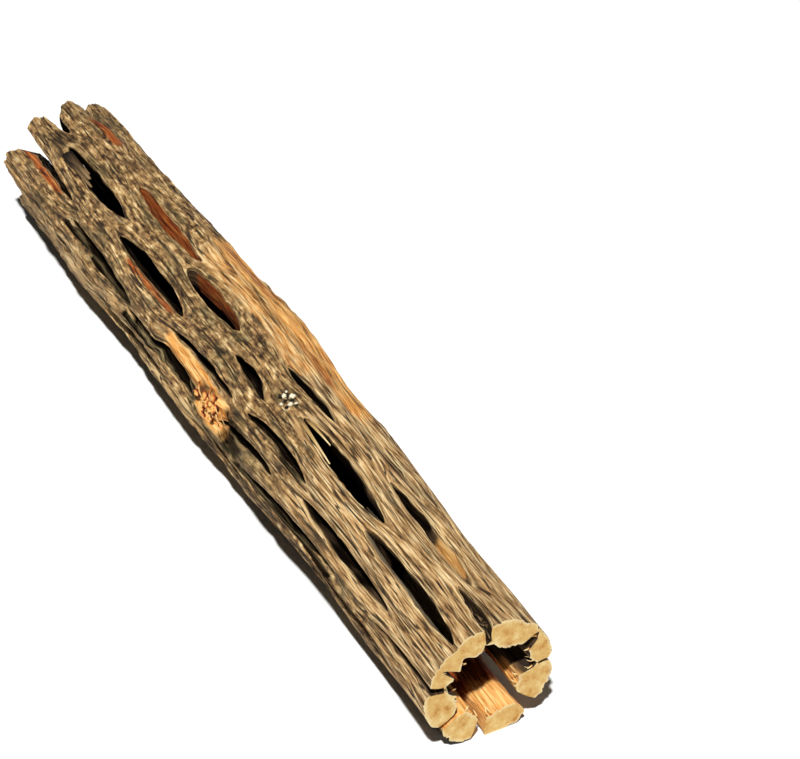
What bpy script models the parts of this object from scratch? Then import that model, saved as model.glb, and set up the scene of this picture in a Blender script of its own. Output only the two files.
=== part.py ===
"""Skeleton of a cholla cactus stem, the woody tube that is left when the flesh has rotted away.

Metres, +Z up. The stem lies along X: its sawn end is at +X and its broken end, with free strand
tips, at -X. It rests on the XY plane, with its origin under the middle.

Two coordinates follow the stem. "Along" is the distance in mm from the sawn end. "Turn" is the
angle in degrees around the stem: 0 at +Y, 90 at the top, 180 at -Y.
"""

import math
import random

import bmesh
import bpy
import numpy as np
from mathutils import Vector, noise

NAME = "cholla_skeleton"

# Driving dimensions, in mm.
LENGTH = 256.0
RADIUS = 19.4
BORE_SHARE = 0.53
FLAT_DEPTH = 0.7

# The grid of the tube before it is formed.
COLUMNS = 52
ROWS = 52
RELAX_STEPS = 900
ALONG_WEIGHT = 0.6

# Slot edges, in mm: how far the outside and the bore round off, and over what width.
OUTER_ROUND = 1.4
INNER_ROUND = 1.8
ROUND_REACH = 4.2
CUT_ROUND_SHARE = 0.45
CUT_ROUND_FADE = 25.0
TAIL_STRETCH = 3.0
TIP_HALF_WIDTH = 1.1
SPINDLE_POWER = 0.55

# Low bumps of the wood, in mm.
BUMP_HEIGHT = 0.55
BUMP_SIZE = 13.0

# Along, radius: the stem is slimmer at its ends and thickest past its middle.
RADIUS_ALONG = (
    (0, 17.8), (25, 18.1), (60, 19.0), (100, 19.6), (135, 20.6),
    (165, 20.2), (200, 19.8), (230, 19.4), (256, 18.6),
)  # fmt: skip

# Along, sideways bend of the middle line towards +Y.
SIDE_ALONG = ((0, 1.5), (60, 1.2), (135, 0.9), (200, 0.0), (256, 0.3))

# Turn, bore share at the sawn end: a thick strand low on one side, thin ones over the top, and
# a cleft in the bore's wall where two strands are grown together.
BORE_AT_CUT = (
    (5, 0.62), (33, 0.64), (41, 0.80), (49, 0.64), (86, 0.62), (110, 0.64), (137, 0.64),
    (145, 0.80), (153, 0.62), (185, 0.57), (232, 0.52), (250, 0.56), (282, 0.56), (300, 0.58),
    (322, 0.42), (352, 0.40),
)  # fmt: skip
BORE_FADE = 45.0

# Each slot: along from, along to, turn at its start, middle and end, half width in degrees.
# One that starts below 0 is open at the saw cut, and one that ends past LENGTH is a gap
# between two free tips.
SLOTS = [
    (-16, 31, 162, 167, 171, 4.2),
    (27, 73.5, 151, 150, 148.5, 6.8),
    (2.5, 49.5, 123, 119.7, 121.5, 7.0),
    (-8, 18, 99, 92.5, 89, 4.8),
    (17, 61, 79, 73.5, 76, 6.6),
    (48, 93, 105, 104, 103.5, 8.3),
    (51, 101, 173, 174, 178.5, 3.9),
    (75, 108, 136, 132.8, 138, 3.9),
    (88, 119, 157, 157.5, 171, 4.0),
    (107, 126.5, 119.5, 115, 115, 4.6),
    (87, 113, 84, 84, 86, 4.6),
    (115, 153, 139, 141, 145.5, 4.4),
    (132, 174, 173, 167.5, 165.5, 3.3),
    (151, 193, 129, 124.5, 126, 6.7),
    (132.5, 165.5, 100, 99.5, 98.5, 8.3),
    (166, 208, 84.5, 84.5, 80.5, 7.3),
    (172, 215, 158, 154, 150, 3.9),
    (197, 237, 112, 112.5, 110, 8.0),
    (219, 300, 139, 135.5, 135.5, 4.9),
    (242, 300, 101, 102, 102, 8.0),
    (247, 280, 67, 66.5, 66, 4.0),
    (8, 52, 43, 42, 41, 7.0),
    (50, 93, 59, 58, 57, 4.6),
    (203, 243, 55, 54, 54, 5.0),
]

# The side that lies away, at the stem's usual spacing: turn and middle of the first slot, and
# its half width where the sawn end shows it.
FAR_ROWS = (
    (193, 44, None), (212, 9, 4.0), (234, 50, None), (256, 10, 6.2), (284, 47, None),
    (311, 7, 8.6), (336, 54, None), (2, 4, 2.0), (20, 62, None),
)  # fmt: skip
SLOT_PITCH = 62.0
SLOT_LENGTH = 43.0
FAR_HALF_WIDTH = 6.0
FAR_GAP_FROM = 222.0
SEED = 11

# Turn, where each strand ends at the broken end.
TIPS = (
    (0, 248), (14, 251), (24, 247), (36, 252), (46, 254), (56, 255), (62, 254), (66, 250),
    (72, 255), (80, 256), (88, 255), (95, 252), (102, 249), (110, 254), (118, 255), (130, 255),
    (134, 251), (140, 245), (145, 249), (150, 252.5), (160, 255), (172, 256), (184, 253),
    (193, 248), (203, 251), (220, 253), (234, 248), (246, 254), (258, 253), (272, 248),
    (284, 252), (298, 253.5), (311, 248), (322, 254), (336, 249), (350, 251),
)  # fmt: skip

# A torn strand that lies below the others: along and turn it covers, and how deep.
TORN_ALONG = (116.0, 152.0)
TORN_TURN = (147.0, 167.0)
TORN_DEPTH = 2.6
TORN_FADE_ALONG = 5.0
TORN_FADE_TURN = 7.0


def smooth_steps(x, knots, period=None):
    """The value at x of a smooth curve that is level at each (place, value) knot."""
    places = [k[0] for k in knots]
    values = [k[1] for k in knots]
    x = np.asarray(x, float)
    if period:
        places = places + [places[0] + period]
        values = values + [values[0]]
        x = places[0] + np.mod(x - places[0], period)
    spot = np.interp(x, places, np.arange(len(places)))
    low = np.minimum(spot.astype(int), len(places) - 2)
    share = spot - low
    share = share * share * (3 - 2 * share)
    values = np.array(values)
    return values[low] * (1 - share) + values[low + 1] * share


def turn_between(turn, other):
    """The signed angle from other to turn, from -180 to 180 degrees."""
    return np.mod(turn - other + 180, 360) - 180


def all_slots():
    """The slots of the near side, then those of the far side, spread with a seeded shift."""
    draw = random.Random(SEED)
    slots = list(SLOTS)
    for turn, first, first_half in FAR_ROWS:
        middle = first
        while middle < FAR_GAP_FROM + SLOT_PITCH / 2:
            shift = draw.uniform(-3, 3)
            start = middle + shift - SLOT_LENGTH / 2 + draw.uniform(-3, 3)
            end = start + SLOT_LENGTH + draw.uniform(-5, 4)
            at = turn + draw.uniform(-2, 2)
            lean = draw.uniform(-4, 4)
            half = FAR_HALF_WIDTH + draw.uniform(-1.4, 1.8)
            if middle == first and first_half:
                half = first_half
            if end > FAR_GAP_FROM + 14:
                start = max(start, FAR_GAP_FROM)
                end = start + 70
            slots.append((start, end, at - lean, at, at + lean, half))
            middle += SLOT_PITCH
    return slots


def slot_line(slot, along):
    """Turn of a slot's middle line, and its half width, at each value of along."""
    start, end, first, middle, last, half = slot
    share = np.clip((along - start) / (end - start), 0, 1)
    turn = first + share * (4 * middle - 3 * first - last) + share * share * 2 * (first + last - 2 * middle)
    spindle = np.sin(math.pi * share) ** SPINDLE_POWER
    return turn, TIP_HALF_WIDTH + (half - TIP_HALF_WIDTH) * spindle


def slot_cells(slot):
    """The grid column that a slot takes, and its first and last grid row."""
    start, end = slot[0], slot[1]
    column = int(slot[3] / (360 / COLUMNS)) % COLUMNS
    first = 0 if start <= 0 else max(1, round(start / LENGTH * ROWS))
    last = ROWS if end >= LENGTH else min(ROWS - 1, round(end / LENGTH * ROWS))
    return column, first, last


def relaxed(values, pinned):
    """Lets the free values settle between the pinned ones, around the stem and along it."""
    held = values[pinned].copy()
    for _ in range(RELAX_STEPS):
        above = np.vstack([values[:1], values[:-1]])
        below = np.vstack([values[1:], values[-1:]])
        beside = np.roll(values, 1, axis=1) + np.roll(values, -1, axis=1)
        values = (beside + ALONG_WEIGHT * (above + below)) / (2 + 2 * ALONG_WEIGHT)
        values[pinned] = held
    return values


def grain_grid(slots):
    """Turn and along of every grid point, with the grain lines parted round the slots."""
    rest_turn = np.tile(np.arange(COLUMNS) * 360 / COLUMNS, (ROWS + 1, 1))
    rest_along = np.tile(np.linspace(0, LENGTH, ROWS + 1)[:, None], (1, COLUMNS))
    turn_shift = np.zeros_like(rest_turn)
    along_shift = np.zeros_like(rest_turn)
    pinned = np.zeros(rest_turn.shape, bool)
    for slot in slots:
        column, first, last = slot_cells(slot)
        rows = np.arange(first, last + 1)
        for line, side in ((column, -1), ((column + 1) % COLUMNS, 1)):
            end_turn, end_half = slot_line(slot, min(slot[1], LENGTH))
            tip = smooth_steps(end_turn + side * end_half, TIPS, 360)
            along = np.linspace(max(slot[0], 0), min(slot[1], tip), len(rows))
            turn, half = slot_line(slot, along)
            turn_shift[rows, line] = turn_between(turn + side * half, rest_turn[rows, line])
            along_shift[rows, line] = along - rest_along[rows, line]
            pinned[rows, line] = True
    turn = rest_turn + relaxed(turn_shift, pinned)
    pinned[[0, -1]] = True
    along_shift[0] = 0
    along_shift[-1] = smooth_steps(turn[-1], TIPS, 360) - LENGTH
    return turn, rest_along + relaxed(along_shift, pinned)


def edge_distance(turn, along, slots):
    """Distance in mm from each point to the nearest slot edge, counted short beyond a slot's tips."""
    nearest = np.full(turn.shape, 99.0)
    for slot in slots:
        middle, half = slot_line(slot, along)
        aside = np.maximum(np.abs(turn_between(turn, middle)) - half, 0)
        aside = np.radians(aside) * RADIUS
        beyond = np.maximum(np.maximum(slot[0] - along, along - slot[1]), 0) / TAIL_STRETCH
        nearest = np.minimum(nearest, np.hypot(aside, beyond))
    return nearest


def torn_share(turn, along):
    """1 on the torn strand, 0 away from it."""
    from_ends = np.minimum(along - TORN_ALONG[0], TORN_ALONG[1] - along) / TORN_FADE_ALONG
    from_sides = np.minimum(turn - TORN_TURN[0], TORN_TURN[1] - turn) / TORN_FADE_TURN
    share = np.clip(np.minimum(from_ends + 1, from_sides + 1), 0, 1)
    return share * share * (3 - 2 * share)


def bumps(turn, along, layer):
    """Low bumps of the wood in mm, drawn out along the grain."""
    heights = np.empty(turn.shape)
    for index in np.ndindex(turn.shape):
        angle = math.radians(turn[index])
        spot = Vector((math.cos(angle) * RADIUS, math.sin(angle) * RADIUS, along[index] / 3))
        heights[index] = noise.noise(spot / BUMP_SIZE + Vector((0, 0, 7 * layer)))
    return heights * 2 * BUMP_HEIGHT


def radii(turn, along, slots):
    """Outer and bore radius in mm at every grid point."""
    full = smooth_steps(along, RADIUS_ALONG)
    round_off = 1 - np.clip(edge_distance(turn, along, slots) / ROUND_REACH, 0, 1)
    round_off *= round_off * (1 - (1 - CUT_ROUND_SHARE) * np.clip(1 - along / CUT_ROUND_FADE, 0, 1))
    outer = full - OUTER_ROUND * round_off + bumps(turn, along, 0)
    outer -= TORN_DEPTH * torn_share(np.mod(turn, 360), along)
    at_cut = smooth_steps(turn, BORE_AT_CUT, 360)
    fade = np.clip(along / BORE_FADE, 0, 1)
    share = at_cut * (1 - fade) + BORE_SHARE * fade
    inner = full * share + INNER_ROUND * round_off + bumps(turn, along, 1)
    return outer, inner


def unit_tube(slots):
    """A tube of radius 1 and wall 0.5 with each slot cut out, one grid column wide."""
    tube = bmesh.new()
    bmesh.ops.create_cone(tube, cap_ends=False, segments=COLUMNS, radius1=1, radius2=1, depth=2)
    long_edges = [e for e in tube.edges if abs(e.verts[0].co.z - e.verts[1].co.z) > 1]
    bmesh.ops.subdivide_edges(tube, edges=long_edges, cuts=ROWS - 1, use_grid_fill=True)
    gone = set()
    for slot in slots:
        column, first, last = slot_cells(slot)
        gone.update((column, row) for row in range(first, last))
    cut = []
    for face in tube.faces:
        middle = face.calc_center_median()
        column = int(math.degrees(math.atan2(middle.y, middle.x)) % 360 / (360 / COLUMNS))
        row = int((1 - middle.z) / 2 * ROWS)
        if (column, row) in gone:
            cut.append(face)
    bmesh.ops.delete(tube, geom=cut, context="FACES")
    bmesh.ops.solidify(tube, geom=tube.faces[:], thickness=0.5)
    return tube


def form_stem(tube, slots):
    """Carries each vertex of the unit tube to its place on the stem, in metres."""
    turn, along = grain_grid(slots)
    outer, inner = radii(turn, along, slots)
    side = smooth_steps(along, SIDE_ALONG)
    height = smooth_steps(along, RADIUS_ALONG) - FLAT_DEPTH
    for vertex in tube.verts:
        line = round(math.degrees(math.atan2(vertex.co.y, vertex.co.x)) / (360 / COLUMNS)) % COLUMNS
        row = round((1 - vertex.co.z) / 2 * ROWS)
        radius = (outer if vertex.co.xy.length > 0.75 else inner)[row, line]
        angle = math.radians(turn[row, line])
        vertex.co = (
            (LENGTH / 2 - along[row, line]) / 1000,
            (side[row, line] + radius * math.cos(angle)) / 1000,
            max(height[row, line] + radius * math.sin(angle), 0) / 1000,
        )


def centre_on_origin(mesh):
    """Moves the mesh so that its box is centred over the origin and stands on z = 0."""
    places = np.array([v.co for v in mesh.verts])
    low, high = places.min(axis=0), places.max(axis=0)
    move = Vector((-(low[0] + high[0]) / 2, -(low[1] + high[1]) / 2, -low[2]))
    bmesh.ops.translate(mesh, vec=move, verts=mesh.verts)


def wood():
    """Dead cholla wood, dry and matt."""
    material = bpy.data.materials.new("cholla_wood")
    material.use_nodes = True
    shader = material.node_tree.nodes["Principled BSDF"]
    shader.inputs["Base Color"].default_value = (0.43, 0.31, 0.19, 1)
    shader.inputs["Roughness"].default_value = 0.82
    shader.inputs["Metallic"].default_value = 0
    return material


def main():
    for obj in list(bpy.data.objects):
        bpy.data.objects.remove(obj)
    collection = bpy.data.collections.new(NAME)
    bpy.context.scene.collection.children.link(collection)
    slots = all_slots()
    tube = unit_tube(slots)
    form_stem(tube, slots)
    centre_on_origin(tube)
    mesh = bpy.data.meshes.new(NAME)
    tube.to_mesh(mesh)
    tube.free()
    mesh.materials.append(wood())
    mesh.shade_smooth()
    mesh.set_sharp_from_angle(angle=math.radians(50))
    collection.objects.link(bpy.data.objects.new(NAME, mesh))


main()
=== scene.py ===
"""Looks of a cholla cactus skeleton: a hollow, slotted woody tube, weathered outside, freshly sawn at
one end and broken at the other.

The stem lies along X with its sawn end at +X. Three coordinates follow it. "Along" is the distance in
mm from the sawn end. "Turn" is the angle in degrees around the stem: 0 at +Y, 90 at the top, 180 at
-Y. "Depth" runs from 0 on the outside to 1 in the bore.
"""

import logging  # noqa: E402
import math  # noqa: E402
import random  # noqa: E402
from collections.abc import Sequence  # noqa: E402
from dataclasses import dataclass, field  # noqa: E402
from enum import Enum  # noqa: E402

import bmesh  # noqa: E402
import bpy  # noqa: E402
import numpy as np  # noqa: E402
from mathutils import Matrix, Vector, noise  # noqa: E402


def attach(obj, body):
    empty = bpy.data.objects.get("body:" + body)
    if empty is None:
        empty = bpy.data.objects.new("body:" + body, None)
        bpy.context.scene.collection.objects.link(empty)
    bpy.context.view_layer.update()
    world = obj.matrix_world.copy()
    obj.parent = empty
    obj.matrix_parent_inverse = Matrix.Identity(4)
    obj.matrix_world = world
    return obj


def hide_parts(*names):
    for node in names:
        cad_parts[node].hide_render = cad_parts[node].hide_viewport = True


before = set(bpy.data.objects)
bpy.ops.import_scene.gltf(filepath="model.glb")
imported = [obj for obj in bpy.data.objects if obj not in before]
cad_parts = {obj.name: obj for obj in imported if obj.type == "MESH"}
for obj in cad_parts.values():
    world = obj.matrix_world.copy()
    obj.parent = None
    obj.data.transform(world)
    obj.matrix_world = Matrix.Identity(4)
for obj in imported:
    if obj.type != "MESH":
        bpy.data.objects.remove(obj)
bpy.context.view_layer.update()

logging.basicConfig(level=logging.INFO, format="%(levelname)s %(message)s")
LOG = logging.getLogger("cholla")

NODE = "cholla_skeleton"
# Attribute of the small pieces: 0 at a fibre's root or a knob's waist, 1 at its tip or top. Painted shade
# darkens them towards 0.
REACH = "reach"
MM_PER_METRE = 1000.0

Tree = bpy.types.NodeTree
Node = bpy.types.Node
Socket = bpy.types.NodeSocket
# A pair and a triple of numbers, such as the least and the most of a draw, or a place.
Pair = tuple[float, float]
Spot = tuple[float, float, float]
# Places and hex colours of a colour ramp.
Ramp = tuple[tuple[float, str], ...]

# Sockets of the Mix node for colours.
MIX_SHARE = 0
MIX_A = 6
MIX_B = 7
MIX_COLOUR = 2
# Roughness of the noise in the finishes.
NOISE_ROUGHNESS = 0.6

# Blender's noise seldom passes 0.6 either way, and this brings it to about -1 to 1.
NOISE_GAIN = 1.6
# Steps in the noise that keep layers of ripples, layers of bumps and a slot's two edges apart.
LAYER_STEP = 9.7
BUMP_LAYER_STEP = 7
WOBBLE_SIDE_STEP = 5.0
# Wall of the unit tube, whose radius is 1.
UNIT_WALL = 0.5

# The stem in mm, as the part's source has it, apart from the bore at the cut, one row of the far
# slots and the tips, which are brought closer to the photograph.
LENGTH = 256.0
RADIUS = 19.4
BORE_SHARE = 0.53
FLAT_DEPTH = 0.7
# The source's shift along X and Y that centres the stem on its origin.
CENTRING = (-0.06, -0.988)
# Along, radius.
RADIUS_ALONG = (
    (0, 17.8), (25, 18.1), (60, 19.0), (100, 19.6), (135, 20.6),
    (165, 20.2), (200, 19.8), (230, 19.4), (256, 18.6),
)  # fmt: skip
# Along, sideways bend of the middle line towards +Y.
SIDE_ALONG = ((0, 1.5), (60, 1.2), (135, 0.9), (200, 0.0), (256, 0.3))
# Turn, bore's share of the radius at the saw cut, which fades into BORE_SHARE.
BORE_AT_CUT = (
    (5, 0.62), (31, 0.62), (37, 0.84), (42, 0.92), (48, 0.68), (70, 0.60), (86, 0.64), (110, 0.62),
    (126, 0.68), (139, 0.64), (145, 0.92), (151, 0.62), (185, 0.57), (232, 0.52), (250, 0.56),
    (282, 0.56), (300, 0.58), (322, 0.42), (352, 0.40),
)  # fmt: skip
BORE_FADE = 45.0


@dataclass(frozen=True)
class Slot:
    """One slot between the strands.

    Args:
        start: Where it starts along the stem, in mm. Below 0 it is open at the saw cut.
        end: Where it ends, in mm. Past the stem's length it is open at the broken end.
        first: Turn of its middle line at its start, in degrees.
        middle: Turn of its middle line half way.
        last: Turn of its middle line at its end.
        half: Half its greatest width, in degrees.
    """

    start: float
    end: float
    first: float
    middle: float
    last: float
    half: float


# Each slot of the near side, with the numbers that Slot names.
SLOTS = (
    (-16, 31, 162, 167, 171, 4.2),
    (27, 73.5, 151, 150, 148.5, 6.8),
    (2.5, 49.5, 123, 119.7, 121.5, 7.0),
    (-8, 18, 99, 92.5, 89, 4.8),
    (17, 61, 79, 73.5, 76, 6.6),
    (48, 93, 105, 104, 103.5, 8.3),
    (51, 101, 173, 174, 178.5, 3.9),
    (75, 108, 136, 132.8, 138, 3.9),
    (88, 119, 157, 157.5, 171, 4.0),
    (107, 126.5, 119.5, 115, 115, 4.6),
    (87, 113, 84, 84, 86, 4.6),
    (115, 153, 139, 141, 145.5, 4.4),
    (132, 174, 173, 167.5, 165.5, 3.3),
    (151, 193, 129, 124.5, 126, 6.7),
    (132.5, 165.5, 100, 99.5, 98.5, 8.3),
    (166, 208, 84.5, 84.5, 80.5, 7.3),
    (172, 215, 158, 154, 150, 3.9),
    (197, 237, 112, 112.5, 110, 8.0),
    (219, 300, 139, 135.5, 135.5, 4.9),
    (242, 300, 101, 102, 102, 8.0),
    (247, 280, 67, 66.5, 66, 4.0),
    (8, 52, 43, 42, 41, 7.0),
    (50, 93, 59, 58, 57, 4.6),
    (203, 243, 55, 54, 54, 5.0),
)

# The far side: turn of each row of slots, middle of its first slot, and that one's half width where
# the saw cut shows it.
FAR_ROWS = (
    (193, 44, None), (212, 9, 4.0), (234, 50, None), (255, 10, 7.6), (284, 47, None),
    (311, 7, 8.6), (336, 54, None), (2, 4, 2.0), (20, 62, None),
)  # fmt: skip
SLOT_PITCH = 62.0
SLOT_LENGTH = 43.0
FAR_HALF_WIDTH = 6.0
# The most that a far slot strays from the pattern: in mm along, in degrees around, and the seed.
FAR_STRAY = 3.0
FAR_END_STRAY = (-5.0, 4.0)
FAR_TURN_STRAY = 2.0
FAR_LEAN = 4.0
FAR_WIDTH_STRAY = (-1.4, 1.8)
SLOT_SEED = 11
# A far slot that ends more than FAR_GAP_REACH past FAR_GAP_FROM starts there or later and runs on
# through the broken end.
FAR_GAP_FROM = 222.0
FAR_GAP_REACH = 14.0
FAR_GAP_LENGTH = 70.0

# Turn, where each strand ends at the broken end.
TIPS = (
    (0, 248), (14, 251), (24, 247), (36, 252), (46, 254), (56, 255), (62, 254), (66, 250),
    (72, 255), (80, 256), (88, 255), (95, 252), (102, 249), (110, 254), (118, 255), (130, 255),
    (134, 251), (140, 245), (145, 249), (150, 252.5), (160, 255), (172, 256), (184, 253),
    (193, 248), (203, 251), (220, 253), (234, 248), (246, 254), (258, 253), (272, 248),
    (284, 252), (298, 256), (311, 255.5), (322, 256), (336, 249), (350, 251),
)  # fmt: skip


class Tone(Enum):
    """A local colour of the wood, or painted shade, or a painted stand-in for shade, each an attribute of
    the mesh that runs from 0 to 1.
    """

    GOLD = "gold"
    EMBER = "ember"
    AGED = "aged"
    DARK = "dark"
    PALE = "pale"
    PAINTED_FLOOR_SHADE = "bare"


@dataclass(frozen=True)
class Patch:
    """A soft-edged patch of one tone.

    Args:
        tone: The colour that it lays on.
        along: Where it starts and ends along the stem, in mm.
        turn: Where it starts and ends around the stem, in degrees.
        strength: Its share of the tone at its middle.
        fade: How far it fades out along and around, in mm and degrees.
        inside: True on slot walls and in the bore, False on the outside.
    """

    tone: Tone
    along: Pair
    turn: Pair
    strength: float = 1.0
    fade: Pair = (5.0, 5.0)
    inside: bool = False


PATCHES = (
    Patch(Tone.GOLD, (98, 170), (40, 60), 0.95, (16, 10)),
    Patch(Tone.GOLD, (112, 164), (60, 82), 0.5, (14, 12)),
    Patch(Tone.GOLD, (126, 151), (150, 166), 1.0, (4, 4)),
    Patch(Tone.GOLD, (113, 128), (150, 174), 0.95, (3, 4)),
    Patch(Tone.GOLD, (236, 256), (168, 186), 0.35, (12, 7)),
    Patch(Tone.EMBER, (146, 170), (46, 56), 0.6, (8, 5)),
    Patch(Tone.EMBER, (104, 119), (58, 66), 0.5, (6, 4)),
    Patch(Tone.EMBER, (228, 262), (141.5, 144.5), 0.85, (8, 3)),
    Patch(Tone.EMBER, (231, 243), (69, 75), 0.75, (7, 4.5)),
    Patch(Tone.EMBER, (158, 180), (132.5, 134.5), 0.75, (7, 2.5)),
    Patch(Tone.AGED, (104, 262), (92, 152), 1.0, (22, 12)),
    Patch(Tone.AGED, (176, 262), (20, 160), 0.95, (10, 12)),
    Patch(Tone.AGED, (84, 130), (118, 178), 0.8, (14, 8)),
    Patch(Tone.AGED, (150, 262), (150, 340), 0.6, (20, 20)),
    Patch(Tone.AGED, (36, 140), (168, 205), 0.9, (20, 8)),
    # Painted shade: near-black streaks along the shaded edges of slots on the outside.
    Patch(Tone.DARK, (105, 114), (150, 175), 0.65, (4, 4)),
    Patch(Tone.DARK, (78, 88), (137, 140), 0.8, (4, 1.5)),
    Patch(Tone.DARK, (174, 196), (158, 161), 1.0, (6, 2)),
    Patch(Tone.DARK, (190, 214), (154, 157), 1.0, (6, 2)),
    Patch(Tone.DARK, (134, 172), (169, 172), 1.0, (6, 2)),
    Patch(Tone.DARK, (54, 100), (177, 180), 1.0, (8, 2)),
    # Painted shade over the underside and the lower flank, along the whole stem.
    Patch(Tone.DARK, (-10, 262), (218, 300), 0.7, (10, 12)),
    Patch(Tone.PALE, (128, 262), (183, 196), 0.8, (14, 4)),
    Patch(Tone.EMBER, (168, 206), (60, 92), 0.95, (6, 6), inside=True),
    Patch(Tone.GOLD, (172, 192), (60, 92), 0.3, (8, 6), inside=True),
    Patch(Tone.EMBER, (136, 160), (82, 99), 0.9, (6, 4), inside=True),
    Patch(Tone.GOLD, (24, 36), (62, 76), 0.9, (5, 5), inside=True),
    Patch(Tone.GOLD, (-20, 11), (205, 325), 1.0, (7, 14), inside=True),
    Patch(Tone.EMBER, (13, 19), (205, 325), 0.85, (5, 14), inside=True),
    Patch(Tone.GOLD, (-20, 6), (325, 350), 0.7, (8, 12), inside=True),
    # Painted stand-in for the shaded floor seen through the slots: the bore's wall is painted a pale
    # grey-brown there.
    Patch(Tone.PAINTED_FLOOR_SHADE, (30, 52), (285, 350), 0.8, (6, 14), inside=True),
    Patch(Tone.PAINTED_FLOOR_SHADE, (8, 50), (105, 135), 0.5, (8, 8), inside=True),
    # Painted shade: near-black inside slots and in the bore, where their walls lie in shade.
    Patch(Tone.DARK, (-10, 24), (84, 104), 0.55, (6, 5), inside=True),
    Patch(Tone.DARK, (66, 126), (76, 118), 0.9, (8, 6), inside=True),
    Patch(Tone.DARK, (44, 64), (62, 82), 0.8, (5, 5), inside=True),
    Patch(Tone.DARK, (172, 262), (94, 118), 0.9, (8, 4), inside=True),
    Patch(Tone.DARK, (66, 262), (118, 360), 0.7, (12, 10), inside=True),
    Patch(Tone.DARK, (40, 262), (158, 186), 0.95, (8, 6), inside=True),
)

# Colours of the skin, by how pale a streak or a speck is: bleached, and aged under open sky.
PALE_SKIN = ((0.31, "#38260E"), (0.41, "#88643A"), (0.52, "#C29A66"), (0.67, "#F0D6A2"))
OLD_SKIN = ((0.33, "#1E1208"), (0.44, "#7B5A37"), (0.55, "#BC955D"), (0.69, "#F4D8A2"))
# Painted shade of the slot walls and the bore, over all of their depth past the skin.
INNER_WALL_SHADE = ((0.3, "#1C120A"), (0.5, "#4A3520"), (0.7, "#7A5F40"))
STAIN_BROWN = "#35261A"
OLIVE = "#4F4C2E"
# Pale straw rim of the slots: worn wood with a painted highlight on the edge.
RIM_STRAW_HIGHLIGHT = "#E2C892"
CHECK_BROWN = "#241A10"
# Painted shade on the floors of the grooves.
GROOVE_SHADE = "#2A1F14"

# Colours of the local tones, from the lowest coat up. The aged tone is part of the skin's own colour.
TONE_COLOURS = {
    # Painted stand-in for the grey of the shaded floor seen through the slots.
    Tone.PAINTED_FLOOR_SHADE: ((0.3, "#857556"), (0.5, "#B2A07E"), (0.7, "#D6C6A2")),
    Tone.GOLD: ((0.3, "#A4602A"), (0.45, "#E09A4A"), (0.64, "#F8C880")),
    Tone.EMBER: ((0.3, "#4C1806"), (0.5, "#A04A16"), (0.7, "#D08840")),
    Tone.PALE: ((0.3, "#93703F"), (0.5, "#CBA66E"), (0.7, "#E8CF9E")),
    # Painted shade: near-black, laid in slots, in the bore and along the underside.
    Tone.DARK: ((0.3, "#040302"), (0.5, "#0C0806"), (0.7, "#1C150F")),
}

# Colours of the sawn end, and of the studio's paper.
END_GRAIN = ((0.3, "#AE7838"), (0.42, "#C89C58"), (0.58, "#D2B06E"), (0.75, "#E2CB94"))
PORE_BROWN = "#A8682F"
FURRY_EDGE = "#E8D9AC"
PAPER = ((0.3, "#EFEFED"), (0.7, "#F4F4F2"))


def linear(hex_colour: str) -> tuple[float, float, float, float]:
    """Turns an sRGB hex colour to linear.

    Args:
        hex_colour: Six hex digits after a #.

    Returns:
        Red, green, blue and an alpha of 1.
    """
    parts = [int(hex_colour[i : i + 2], 16) / 255 for i in (1, 3, 5)]
    red, green, blue = (p / 12.92 if p <= 0.04045 else ((p + 0.055) / 1.055) ** 2.4 for p in parts)
    return red, green, blue, 1.0


def ease(share: np.ndarray) -> np.ndarray:
    """Clips a share to 0 to 1 and rounds its ends off."""
    share = np.clip(share, 0, 1)
    return share * share * (3 - 2 * share)


def smooth_steps(x: np.ndarray | float, knots: Sequence, period: float | None = None) -> np.ndarray:
    """The value at x of a smooth curve that is level at each knot.

    Args:
        x: Where to read the curve.
        knots: Pairs of place and value, in order.
        period: Where given, the curve repeats after it.

    Returns:
        The values at x.
    """
    places = [k[0] for k in knots]
    values = [k[1] for k in knots]
    x = np.asarray(x, float)
    if period:
        places = places + [places[0] + period]
        values = values + [values[0]]
        x = places[0] + np.mod(x - places[0], period)
    spot = np.interp(x, places, np.arange(len(places)))
    low = np.minimum(spot.astype(int), len(places) - 2)
    share = ease(spot - low)
    levels = np.array(values)
    return levels[low] * (1 - share) + levels[low + 1] * share


def turn_between(turn: np.ndarray, other: np.ndarray | float) -> np.ndarray:
    """The signed angle from other to turn, from -180 to 180 degrees."""
    return np.mod(turn - other + 180, 360) - 180


def all_slots() -> list[Slot]:
    """Lists the slots.

    Returns:
        Those of the near side, then those of the far side with their seeded shifts.
    """
    draw = random.Random(SLOT_SEED)
    slots = [Slot(*numbers) for numbers in SLOTS]
    for turn, first, first_half in FAR_ROWS:
        middle = first
        while middle < FAR_GAP_FROM + SLOT_PITCH / 2:
            shift = draw.uniform(-FAR_STRAY, FAR_STRAY)
            start = middle + shift - SLOT_LENGTH / 2 + draw.uniform(-FAR_STRAY, FAR_STRAY)
            end = start + SLOT_LENGTH + draw.uniform(*FAR_END_STRAY)
            at = turn + draw.uniform(-FAR_TURN_STRAY, FAR_TURN_STRAY)
            lean = draw.uniform(-FAR_LEAN, FAR_LEAN)
            half = FAR_HALF_WIDTH + draw.uniform(*FAR_WIDTH_STRAY)
            if middle == first and first_half:
                half = first_half
            if end > FAR_GAP_FROM + FAR_GAP_REACH:
                start = max(start, FAR_GAP_FROM)
                end = start + FAR_GAP_LENGTH
            slots.append(Slot(start, end, at - lean, at, at + lean, half))
            middle += SLOT_PITCH
    return slots


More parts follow.
